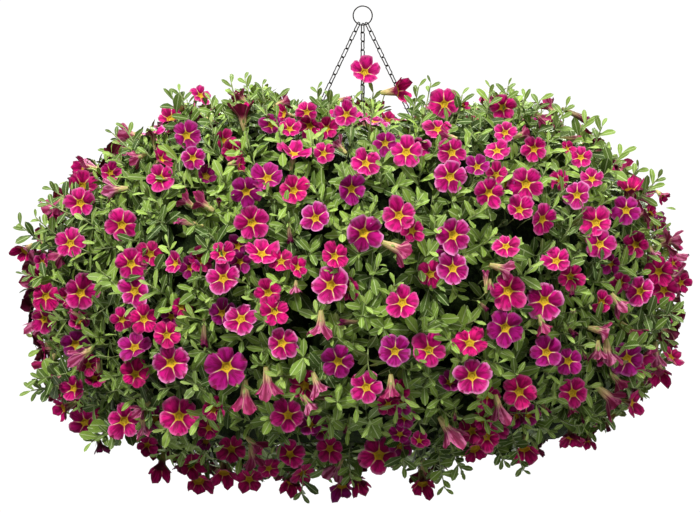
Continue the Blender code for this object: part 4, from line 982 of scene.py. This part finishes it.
# Leafy shoots that stand out of the outline: pixel x and y of the root, then of the tip
SEEN_SHOOTS = [
    (75, 385, 28, 390), (75, 375, 34, 378), (48, 240, 17, 222), (60, 235, 34, 214), (72, 205, 50, 186),
    (80, 215, 44, 200), (135, 160, 112, 130), (140, 150, 124, 124), (185, 125, 172, 92),
    (190, 125, 180, 88), (215, 120, 212, 98), (240, 120, 232, 80), (250, 118, 246, 76),
    (262, 115, 264, 82), (275, 112, 280, 96), (318, 118, 318, 86), (328, 120, 330, 96),
    (412, 128, 418, 84), (425, 125, 430, 80), (455, 115, 462, 92), (490, 112, 488, 84),
    (500, 112, 508, 82), (520, 118, 524, 94), (532, 120, 540, 96), (556, 130, 566, 102),
    (575, 140, 588, 116), (590, 150, 602, 122), (612, 175, 622, 148), (625, 180, 640, 164),
    (640, 195, 660, 174), (645, 220, 668, 205), (640, 318, 678, 314), (640, 325, 672, 326),
    (615, 352, 648, 342), (620, 370, 646, 368), (520, 430, 520, 472), (505, 430, 500, 462),
    (445, 445, 443, 490), (452, 445, 462, 472), (105, 415, 92, 446), (120, 420, 106, 436),
    (300, 470, 303, 496), (405, 445, 402, 470), (600, 415, 612, 418), (45, 270, 20, 275),
    (350, 455, 352, 480), (540, 425, 552, 430), (660, 300, 682, 312), (655, 330, 672, 344),
]
# The centre spray's shoots, by their tips
CENTRE_SHOOTS = [
    (0.010, 0.0, -0.082), (-0.009, -0.006, -0.088), (0.022, -0.014, -0.108), (-0.02, 0.012, -0.11),
    (0.005, 0.02, -0.10), (-0.030, -0.018, -0.105), (0.034, 0.004, -0.112), (0.0, 0.040, -0.112),
    (-0.038, 0.010, -0.108),
]
OUTER_SHOOTS = 1150
INNER_SHOOTS = 640
LEAF_LENGTH = 0.0218
LEAF_WIDTH = 0.0086
LEAF_TURN = math.radians(137.5)
# Size of a leaf by its place from the tip, on a common shoot and on one that stands free
SIZE_PLACES = (0, 2, 5, 10)
COMMON_SIZES = (0.50, 0.72, 1.0, 1.15)
FREE_SIZES = (0.52, 0.66, 0.80, 0.88)
# How lime green the tips of shoots are, with the share of shoots
LIME_SHARES = {0.0: 0.48, 0.3: 0.32, 0.8: 0.20}
SHOOT_EDGE_ROOM = 4.0
STEM_GREEN_RADIUS = 0.0006
STEM_CUTS = 4
SHOOT_TIP_SETBACK = 0.007
LOW_EDGE = -0.395
LOW_LEFT_OUT = 0.35
SEPALS = 5
SEPAL_WIDTH = 0.0021
SMALL_LEAF = 0.0105
# The part of a bloom's radius that leaves keep clear, before its face and towards the camera
CLEAR_FACE = 0.68
CLEAR_VIEW = 0.56
# How far before its face they do, in metres
CLEAR_AHEAD = 0.035
CLEAR_AHEAD_DEEP = 0.006
EDGE_ROOM = 3.0


def low_light(z):
    """How much of the light reaches a height on the plant: its underside is in shadow."""
    return np.interp(z, [-0.46, -0.40, -0.28, -0.15], [0.73, 0.89, 1.0, 1.0])


def bowed(root, middle, tip, share):
    """Places on the bow from root to tip that leans towards middle."""
    return (1 - share) ** 2 * root + 2 * share * (1 - share) * middle + share ** 2 * tip


def square_to(axis):
    """Two directions square to an axis and to each other."""
    side = unit(np.cross(axis, (0.2, 0.3, 0.93)))
    return side, np.cross(axis, side)


class Sprays:
    """Stems and leaves gathered for each bough as they are grown."""

    def __init__(self):
        self.leaves = [[] for _ in range(BOUGH_COUNT + 1)]
        self.stems = [[] for _ in range(BOUGH_COUNT + 1)]

    def leaf(self, bough, foot, aim, up, length, width, droop, cup, tint, free=False):
        self.leaves[bough].append((*foot, *aim, *up, length, width, droop, cup, *tint, free))

    def stem(self, bough, root, middle, tip, radius):
        steps = np.linspace(0.0, 1.0, STEM_CUTS)[:, None]
        self.stems[bough].append((bowed(root, middle, tip, steps), radius))


def grow_shoot(sprays, root, tip, leaves, spacing, depth, lime, draw, free=False):
    """A stem that curves up to its tip, with leaves round it that get small at the tip."""
    root, tip = np.array(root), np.array(tip)
    span = np.linalg.norm(tip - root)
    middle = (root + tip) / 2 + np.array([0.0, 0.0, -0.20 * span]) + draw.normal(0, 0.07 * span, 3)
    bough = bough_of(tip)
    sprays.stem(bough, root, middle, tip, STEM_GREEN_RADIUS * (1.2 if depth > 0.8 else 0.9))
    turn = draw.uniform(0.0, 2.0 * math.pi)
    own_light = draw.uniform(0.10, 0.55) if free else draw.uniform(0.06, 0.98)
    own_size = draw.uniform(0.82, 1.15)
    for k in range(leaves):
        share = 1.0 - min(k * spacing / span, 0.97)
        foot = bowed(root, middle, tip, share)
        axis = unit(2 * (1 - share) * (middle - root) + 2 * share * (tip - middle))
        side, other = square_to(axis)
        angle = turn + k * LEAF_TURN + draw.normal(0, 0.25)
        out = math.cos(angle) * side + math.sin(angle) * other
        rise = np.interp(k, [0, 3, 8, 14], [1.15, 0.65, 0.35, 0.15]) + draw.normal(0, 0.18)
        aim = out + axis * rise + np.array([0, 0, 0.12])
        size = own_size * np.interp(k, SIZE_PLACES, FREE_SIZES if free else COMMON_SIZES)
        size = size * draw.uniform(0.82, 1.15)
        width = LEAF_WIDTH * size * np.interp(k, [0, 3, 8], [0.88, 1.0, 1.22]) * draw.uniform(0.82, 1.18)
        light = np.clip(own_light + 0.08 + draw.normal(0, 0.16) - 0.035 * k, 0.0, 1.0)
        young = max(0.0, 1.0 - k / 4.0) * lime
        # Painted shade: a leaf gets less daylight inside the plant, far down its shoot and low on the
        # plant.
        daylight = depth * np.interp(k, [0, 6, 14], [1.0, 0.95, 0.74]) * draw.uniform(0.85, 1.1)
        tint = (light, young, min(daylight * low_light(foot[2]), 1.0))
        up = axis + out * draw.uniform(-0.3, 0.5)
        if free:
            up = axis * 0.3 + np.array([draw.uniform(-0.4, 0.4), -1.0, 0.4])
        droop, cup = draw.uniform(0.0, 0.30), draw.uniform(0.10, 0.42)
        sprays.leaf(bough, foot, aim, up, LEAF_LENGTH * size, width, droop, cup, tint, free)


def grow_outer_shoots(sprays, draw):
    """The leafy face of the plant, between the blooms."""
    centres = np.array([row[0] for row in blooms])
    radii = np.array([row[2] for row in blooms])
    grown, i = 0, -1
    while grown < OUTER_SHOOTS:
        i += 1
        place = even_place(i, 11)
        if (np.linalg.norm(centres - np.array(place), axis=1) < 0.7 * radii).any():
            continue
        low = place.z < LOW_EDGE
        if low and draw.uniform() < LOW_LEFT_OUT:
            continue
        away = outward(place)
        tip = place + away * (draw.uniform(-0.016, -0.002) if low else draw.uniform(-0.009, 0.006))
        if place.z > CROWN_FOOT:
            tip = tip + Vector((0.0, 0.0, draw.uniform(0.0, 0.010)))
        tip = drawn_in(tip, SHOOT_EDGE_ROOM)
        root = place - away * draw.uniform(0.040, 0.055) + Vector(draw.normal(0, 0.010, 3))
        leaves, depth = int(draw.integers(9, 13)), draw.uniform(0.84, 1.0)
        lime = draw.choice(list(LIME_SHARES), p=list(LIME_SHARES.values()))
        grow_shoot(sprays, root, tip, leaves, 0.0041, depth, lime, draw)
        grown += 1


def grow_all():
    draw = np.random.default_rng(SEED + 3)
    sprays = Sprays()
    grow_outer_shoots(sprays, draw)
    for i in range(INNER_SHOOTS):
        place = even_place(i, 977)
        away = outward(place)
        tip = drawn_in(place - away * draw.uniform(0.014, 0.026), SHOOT_EDGE_ROOM)
        root = place - away * 0.060 + Vector(draw.normal(0, 0.012, 3))
        # Inner shoots get painted shade, darker still low on the plant.
        depth = draw.uniform(0.34, 0.64) * low_light(place.z) ** 4
        grow_shoot(sprays, root, tip, 8, 0.0044, depth, 0.0, draw)
    for px, py, tip_px, tip_py in SEEN_SHOOTS:
        start = front_place(px, py)
        x, z = from_pixel(tip_px, tip_py)
        tip = Vector((x, start.y * 0.9, z))
        tip = tip - (tip - start).normalized() * SHOOT_TIP_SETBACK
        grow_shoot(sprays, start - outward(start) * 0.03, tip, 14, 0.0033, 0.90, 0.10, draw, free=True)
    for x, y, z in CENTRE_SHOOTS:
        grow_shoot(sprays, (x * 0.4, y * 0.4, z - 0.07), (x, y, z), 12, 0.0045, 0.9, 0.3, draw, free=True)
    return sprays


def sepals_and_stalks(sprays):
    """Each bloom's own stalk, and the five narrow sepals that hold its tube."""
    draw = np.random.default_rng(SEED + 5)
    for centre, facing, radius, kind, bough, *_ in blooms:
        axis = np.array(facing)
        heel = np.array(centre) - axis * TUBE_LENGTH[kind] * radius
        root = heel - np.array(outward(centre)) * 0.028 + np.array([0, 0, -0.006])
        sprays.stem(bough, root, (heel + root) / 2 - axis * 0.006, heel, STEM_GREEN_RADIUS)
        side, other = square_to(axis)
        for k in range(SEPALS):
            angle = 2.0 * math.pi * k / SEPALS + draw.normal(0, 0.1)
            out = math.cos(angle) * side + math.sin(angle) * other
            foot = heel - axis * 0.001 + out * 0.0008
            aim = axis + out * draw.uniform(0.35, 0.7)
            length = draw.uniform(0.007, 0.010)
            # Sepals get painted shade low on the plant.
            tint = (0.60, draw.uniform(0.1, 0.5), 0.9 * low_light(centre[2]))
            sprays.leaf(bough, foot, aim, axis - out, length, SEPAL_WIDTH, -0.05, 0.3, tint, free=True)


def before_a_bloom(points, small):
    """Which of some points stand before an open bloom's face, or between it and the camera."""
    hit = np.zeros(len(points), dtype=bool)
    for centre, facing, radius, kind, _, _, seen in blooms:
        if kind == "B":
            continue
        gap = points - np.array(centre)
        ahead = gap @ np.array(facing)
        beside = np.linalg.norm(gap - ahead[:, None] * np.array(facing), axis=1)
        reach = CLEAR_AHEAD_DEEP if kind == "D" else CLEAR_AHEAD
        before = (ahead > -0.004) & (ahead < reach) & ~(small & (ahead < 0))
        hit |= (beside < radius * CLEAR_FACE) & before
        if seen and kind in "FTS":
            across = np.hypot(gap[:, 0], gap[:, 2])
            hit |= (across < radius * CLEAR_VIEW) & (gap[:, 1] < -0.003)
    return hit


sprays = grow_all()
sepals_and_stalks(sprays)
stem_green, tree, shader = new_material("GreenStem", 0.55)
bark = grain(tree, 180.0, 4.0)
dress(tree, shader, blend(tree, bark["Mask"], (0.10, 0.14, 0.035), (0.26, 0.31, 0.10)),
      (bark["Fine"], 0.45, 0.7), bark["Height"], 0.4, 0.0002)

for bough in range(BOUGH_COUNT + 1):
    leaves = np.array(sprays.leaves[bough])
    grown = leaf_columns(leaves)
    middle = grown["foot"] + unit(grown["aim"]) * grown["length"][:, None] * 0.6
    kept = (grown["free"] > 0.5) | inside_outline(middle, EDGE_ROOM)
    leaves = leaves[kept & ~before_a_bloom(middle, grown["length"] < SMALL_LEAF)]
    node_name, label = bough_names(bough)
    settle(leaves_piece(f"Leaves.{label}", leaf_columns(leaves)), "foliage", node_name)
    ends = np.array([line[-1] for line, _ in sprays.stems[bough]])
    blocked = before_a_bloom(ends, np.ones(len(ends), dtype=bool))
    stems = joined([wire_mesh(line, radius, 3)
                    for (line, radius), out in zip(sprays.stems[bough], blocked) if not out])
    settle(mesh_piece(f"Stems.{label}", *stems, [stem_green]), "foliage", node_name)


# Petals
# Each bloom is one soft trumpet of five fused lobes. Its face is magenta with a cream stripe
# down each seam from a golden throat; its back is paler, with dark streaks down the tube.
def streak_group():
    """Fine veins that run from the throat to the rim, from the lobe and reach coordinates."""
    group, given = new_group("PetalStreaks", ("Lobes",), {"Veins": 9.0, "Low": 0.45, "High": 0.7},
                             ("Mask", "Height"))
    parts = node(group, "ShaderNodeSeparateXYZ", {0: given["Lobes"]}).outputs
    across = times(group, parts["X"], given["Veins"])
    along = times(group, parts["Y"], 1.3)
    stretched = node(group, "ShaderNodeCombineXYZ", {0: across, 1: along}).outputs[0]
    veins = node(group, "ShaderNodeTexNoise", {"Vector": stretched, "Scale": 1.0,
                                               "Detail": 3.0}).outputs["Fac"]
    node(group, "NodeGroupOutput", {"Mask": fade(group, veins, given["Low"], given["High"]),
                                    "Height": veins})
    return group


petal_streaks = streak_group()


def streaks(tree, lobes, veins, low, high):
    return node(tree, "ShaderNodeGroup", {"Lobes": lobes, "Veins": veins, "Low": low, "High": high},
                node_tree=petal_streaks).outputs


def petal_places(tree):
    """A petal's lobes map, its reach from throat to rim, its way to a seam, and its tint."""
    lobes = node(tree, "ShaderNodeUVMap", uv_map="Lobes").outputs[0]
    reach, seam = (node(tree, "ShaderNodeAttribute", attribute_name=key).outputs["Fac"]
                   for key in ("reach", "seam"))
    return lobes, reach, seam, tint_of(tree)


petal_face, tree, shader = new_material("PetalFace", 0.6, Specular_IOR_Level=0.07)
lobes, reach, seam, tint = petal_places(tree)
veins = streaks(tree, lobes, 4.6, 0.44, 0.58)
mottle = grain(tree, 130.0, 3.0, 0.35, 0.7)
near = blend(tree, tint[0], (0.230, 0.001, 0.030), (0.120, 0.001, 0.046))
far = blend(tree, tint[0], (0.720, 0.005, 0.180), (0.400, 0.006, 0.215))
petal = blend(tree, fade(tree, reach, 0.08, 0.66), near, far)
petal = blend(tree, times(tree, veins["Mask"], 0.70), petal, (0.170, 0.001, 0.040))
pink = blend(tree, tint[0], (0.840, 0.240, 0.460), (0.640, 0.250, 0.540))
patch = times(tree, mottle["Mask"], fade(tree, reach, 0.45, 0.85, 0.0, 0.14))
edge = maths(tree, "ADD", fade(tree, reach, 0.80, 1.02, 0.0, 0.95), patch)
edge = maths(tree, "MULTIPLY", edge, maths(tree, "ADD", tint[1], 0.16), clamp=True)
petal = blend(tree, edge, petal, pink)
wobble = times(tree, maths(tree, "SUBTRACT", mottle["Fine"], 0.5), 0.016)
stripe_side = fade(tree, reach, 0.10, 1.0, 0.050, 0.026)
stripe = fade(tree, maths(tree, "ADD", seam, wobble), stripe_side, times(tree, stripe_side, 0.25))
stripe = times(tree, stripe, fade(tree, reach, 1.0, 0.55, 0.10, 0.92))
cream = blend(tree, fade(tree, reach, 0.22, 0.55), (0.800, 0.480, 0.050), (0.860, 0.600, 0.340))
cream = blend(tree, fade(tree, reach, 0.55, 0.95), cream, (0.840, 0.440, 0.500))
petal = blend(tree, stripe, petal, cream)
star = fade(tree, seam, 0.10, 0.0, 0.0, 0.12)
star_edge = maths(tree, "SUBTRACT", maths(tree, "ADD", star, 0.125), reach)
gold = fade(tree, maths(tree, "ADD", star_edge, wobble), -0.02, 0.04)
throat = blend(tree, fade(tree, reach, -0.35, 0.06), (0.340, 0.250, 0.018), (0.660, 0.410, 0.024))
petal = in_daylight(tree, blend(tree, gold, petal, throat), tint[2])
dress(tree, shader, petal, (mottle["Fine"], 0.5, 0.7), veins["Height"], 0.35, 0.0005)

petal_back, tree, shader = new_material("PetalBack", 0.65, Specular_IOR_Level=0.15)
lobes, reach, seam, tint = petal_places(tree)
veins = streaks(tree, lobes, 3.6, 0.46, 0.56)
mottle = grain(tree, 150.0, 3.0)
pale = blend(tree, tint[1], (0.360, 0.006, 0.095), (0.780, 0.280, 0.480))
pale = blend(tree, times(tree, mottle["Mask"], 0.3), pale, (0.480, 0.040, 0.160))
tube = blend(tree, fade(tree, reach, -0.95, -0.35), (0.520, 0.540, 0.140), (0.740, 0.560, 0.240))
petal = blend(tree, fade(tree, reach, -0.40, 0.16), tube, pale)
across_lobe = maths(tree, "FRACT", node(tree, "ShaderNodeSeparateXYZ", {0: lobes}).outputs["X"])
from_midrib = maths(tree, "ABSOLUTE", maths(tree, "SUBTRACT", across_lobe, 0.5))
midrib = times(tree, fade(tree, from_midrib, 0.24, 0.06), fade(tree, reach, -0.45, 0.15, 0.0, 0.88))
petal = blend(tree, midrib, petal, (0.240, 0.003, 0.055))
dark_veins = times(tree, veins["Mask"], fade(tree, reach, -0.9, 0.0, 0.35, 0.80))
petal = blend(tree, dark_veins, petal, (0.170, 0.006, 0.040))
seam_line = times(tree, fade(tree, seam, 0.05, 0.015), 0.5)
petal = in_daylight(tree, blend(tree, seam_line, petal, (0.620, 0.400, 0.300)), tint[2])
dress(tree, shader, petal, (mottle["Fine"], 0.5, 0.75), veins["Height"], 0.5, 0.0005)

LOBES = 5
LOBE_TURN = 360.0 / LOBES
# Where the rays of one lobe run, from its one seam at -1 to its other at 1
LOBE_PLACES = np.array([-1.0, -0.86, -0.58, -0.20, 0.20, 0.58, 0.86])
AROUND = LOBES * len(LOBE_PLACES)
LOBE = np.arange(AROUND) // len(LOBE_PLACES)
INSIDE = np.tile(LOBE_PLACES, LOBES)
TO_SEAM = np.abs(INSIDE)
PUFF = np.cos(np.pi / 2 * INSIDE)
ANGLE = np.radians(LOBE_TURN * (LOBE + 0.5) + LOBE_TURN / 2 * INSIDE)
SEAM_SHARE = np.sin(np.radians(LOBE_TURN / 2) * (1 - TO_SEAM))
# Where the rings run, from the tube's heel at -1 past its mouth at 0 to the rim at 1
REACH = np.array([-1.0, -0.45, 0.0, 0.16, 0.42, 0.76, 1.0])
OPENING = {"F": (76, 90), "T": (66, 86), "S": (32, 54), "D": (52, 84), "B": (6, 14)}
MOUTH = {"F": 0.14, "T": 0.15, "S": 0.32, "D": 0.15, "B": 0.50}
NOTCH = {"F": 0.25, "T": 0.27, "S": 0.24, "D": 0.28, "B": 0.10}
# How much the lobes of one bloom differ, and the painted light and shade of its darkest and palest lobe
LOBE_SIZE_STRAY = 0.065
LOBE_TILT_STRAY = 0.20
LOBE_SKEW_STRAY = 0.17
LOBE_LIGHT = (0.78, 1.10)
NOTCH_RANGE = (0.60, 1.50)
MOST_CURL = 24
SKIN = 0.00035
BEND_STEPS = 24
KNOB_TURN = 1.2566
KNOB_SPREAD = 0.016


def bloom_template():
    """What all blooms share: faces, which are of the back, and each corner's lobe and flat places."""
    back = len(REACH) * AROUND
    knob = 2 * back
    spread = 0.46 * (REACH + 1.1) / 2.1
    faces, is_back, lobes, flat = [], [], [], []
    for i in range(len(REACH) - 1):
        for j in range(AROUND):
            k = (j + 1) % AROUND
            own = LOBE[j] + (INSIDE[j] + 1) / 2
            following = LOBE[j] + (INSIDE[k] + 1) / 2 + (1 if INSIDE[k] < INSIDE[j] else 0)
            corners = [(i, j, own), (i + 1, j, own), (i + 1, k, following), (i, k, following)]
            face = [a * AROUND + b for a, b, _ in corners]
            faces += [tuple(face), tuple(back + v for v in reversed(face))]
            is_back += [False, True]
            places = [(across, REACH[a]) for a, _, across in corners]
            lobes += places + places[::-1]
            disc = [(0.5 + spread[a] * math.cos(ANGLE[b]), 0.5 + spread[a] * math.sin(ANGLE[b]))
                    for a, b, _ in corners]
            flat += disc + [(1.0 + u, v) for u, v in disc[::-1]]
    for k in range(LOBES):
        faces.append((knob, knob + 1 + k, knob + 1 + (k + 1) % LOBES))
        is_back.append(False)
        lobes += [(0.0, 0.0), (0.2, -0.1), (0.4, -0.1)]
        flat.append((0.5, 0.5))
        flat += [(0.5 + KNOB_SPREAD * math.cos(KNOB_TURN * n), 0.5 + KNOB_SPREAD * math.sin(KNOB_TURN * n))
                 for n in (k, k + 1)]
    return faces, is_back, np.array(lobes), np.array(flat)


BLOOM_FACES, BLOOM_BACKS, BLOOM_LOBES, BLOOM_FLAT = bloom_template()
RING_REACH = np.repeat(REACH, AROUND)
BLOOM_REACH = np.concatenate([RING_REACH, RING_REACH, [-0.30], np.zeros(LOBES)])


def flare_curve(opening, curl):
    """How far out and how far up a petal has gone at each step from the mouth to the rim."""
    steps = np.linspace(0.0, 1.0, BEND_STEPS + 1)
    start = math.radians(min(34.0, math.degrees(opening)))
    bend = start + (opening - start) * np.clip(steps / 0.30, 0, 1) ** 0.8
    bend = bend + curl * np.clip((steps - 0.7) / 0.3, 0, 1)
    out, rise = (np.concatenate([[0.0], np.cumsum((way[1:] + way[:-1]) / 2)]) / BEND_STEPS
                 for way in (np.sin(bend), np.cos(bend)))
    return steps, out, rise


def bloom_mesh(centre, facing, radius, kind, draw):
    """One bloom's vertices, how far each is from a seam, and its painted light and shade by lobe."""
    normal = np.array(facing)
    side = unit(np.cross(normal, (0.13, 0.21, 0.97)))
    other = np.cross(normal, side)
    spin = draw.uniform(0.0, 2.0 * math.pi)
    opening = math.radians(draw.uniform(*OPENING[kind]))
    lobe_size = 1.0 + draw.normal(0, LOBE_SIZE_STRAY, LOBES)
    lobe_tilt = draw.normal(0, LOBE_TILT_STRAY, LOBES)
    lobe_skew = draw.normal(0, LOBE_SKEW_STRAY, LOBES)
    lobe_light = draw.uniform(*LOBE_LIGHT, LOBES)
    notch = NOTCH[kind] * draw.uniform(*NOTCH_RANGE, LOBES)[LOBE]
    dimple = 0.035 * np.exp(-(INSIDE / 0.3) ** 2)
    own = 1.03 - notch * TO_SEAM ** 2.8 - dimple + 0.022 * np.sin(6.0 * INSIDE + 1.7 * LOBE + spin)
    neighbour = lobe_size[(LOBE + np.where(INSIDE < 0, -1, 1)) % LOBES]
    size_here = lobe_size[LOBE] + 0.5 * (neighbour - lobe_size[LOBE]) * TO_SEAM ** 3
    flare = radius / max(math.sin(opening) * 0.80 + 0.20, 0.62)
    mouth = MOUTH[kind] * radius
    run = flare * own * size_here - mouth
    steps, out, rise = flare_curve(opening, math.radians(draw.uniform(0, MOST_CURL)))
    lift = np.interp(0.6, steps, rise) * (radius - mouth)
    tilt = lobe_tilt[LOBE] * PUFF + lobe_skew[LOBE] * INSIDE * (1.0 - TO_SEAM)
    rings, seam = [], []
    for share in REACH:
        if share < 0.0:
            r = np.interp(share, [-1.0, -0.75, -0.25, 0.0], [0.42, 0.62, 0.88, 1.0]) * mouth
            z = np.full(AROUND, share * TUBE_LENGTH[kind] * radius - lift)
        else:
            r = mouth + run * np.interp(share, steps, out)
            z = run * np.interp(share, steps, rise) - lift
            z = z + run * share ** 1.3 * (0.17 * (PUFF - 0.6) + tilt)
            z = z + 0.065 * radius * share ** 2.5 * np.sin(7.0 * INSIDE + LOBE * 2.1 + spin)
        seam.append(r / radius * SEAM_SHARE)
        if kind == "B" and share >= 0.0:
            r = r * (1.0 + 0.28 * np.sin(3.0 * ANGLE + 9.0 * z / radius))
        rings.append(np.stack([r * np.cos(ANGLE), r * np.sin(ANGLE), z], axis=1))
    stop = -lift - 0.12 * mouth
    knob = [(0.0, 0.0, stop - 0.55 * mouth)]
    knob += [(mouth * math.cos(KNOB_TURN * k), mouth * math.sin(KNOB_TURN * k), stop)
             for k in range(LOBES)]
    local = np.concatenate(rings + [np.array(knob)])
    turned_x = local[:, 0] * math.cos(spin) - local[:, 1] * math.sin(spin)
    turned_y = local[:, 0] * math.sin(spin) + local[:, 1] * math.cos(spin)
    radial = np.outer(turned_x, side) + np.outer(turned_y, other)
    whole = np.array(centre) + radial + np.outer(local[:, 2], normal)
    total = len(RING_REACH)
    front = whole[:total]
    lean = np.clip(RING_REACH, 0.0, 0.5)[:, None] * 2.0
    back = front + SKIN * (unit(radial[:total]) * (1.0 - lean) - normal * lean)
    back[-AROUND:] = front[-AROUND:]
    light = np.concatenate([np.tile(lobe_light[LOBE], 2 * len(REACH)), np.ones(len(knob))])
    seam = np.concatenate(seam + seam + [np.zeros(len(knob))])
    return np.concatenate([front, back, whole[total:]]), seam, light


def petals_piece(name, own_blooms, draw):
    """One object of all the blooms of a bough, their faces and backs in two materials."""
    verts, seams, lobes, tints = [], [], [], []
    for centre, facing, radius, kind, _, shade, _ in own_blooms:
        points, seam, lobe_light = bloom_mesh(centre, facing, radius, kind, draw)
        verts.append(points)
        seams.append(seam)
        lobes.append(BLOOM_LOBES + (draw.integers(0, 40) * 5.0, 0.0))
        violet = shade[0] + draw.normal(0, 0.08)
        margin = shade[1] + (draw.uniform(-0.50, 0.20) if kind == "S" else draw.uniform(-0.15, 0.15))
        # Painted shade: D blooms among leaves and blooms low on the plant are darker, and each lobe has
        # painted light and shade of its own.
        light = shade[2] * draw.uniform(0.94, 1.08) * (0.80 if kind == "D" else 1.0)
        light = light * low_light(centre[2]) * lobe_light
        tint = np.stack([np.full(len(light), violet), np.full(len(light), margin), light], axis=1)
        tints.append(np.clip(tint, 0.0, 1.0))
    count, own = len(own_blooms), len(BLOOM_REACH)
    faces = [tuple(k * own + v for v in face) for k in range(count) for face in BLOOM_FACES]
    item = mesh_piece(name, np.concatenate(verts), faces, [petal_face, petal_back])
    item.data.polygons.foreach_set("material_index", np.array(BLOOM_BACKS * count, dtype=np.int32))
    for key, values in (("reach", np.tile(BLOOM_REACH, count)), ("seam", np.concatenate(seams))):
        layer = item.data.attributes.new(key, "FLOAT", "POINT")
        layer.data.foreach_set("value", values)
    lay_map(item.data, "Lobes", np.concatenate(lobes))
    lay_map(item.data, "OFBake", in_cells(BLOOM_FLAT, count, 2))
    paint_tint(item.data, np.concatenate(tints))
    return item


draw = np.random.default_rng(SEED + 11)
for bough in range(BOUGH_COUNT + 1):
    own_blooms = [bloom for bloom in blooms if bloom[4] == bough]
    node_name, label = bough_names(bough)
    settle(petals_piece(f"Petals.{label}", own_blooms, draw), "bloom", node_name)
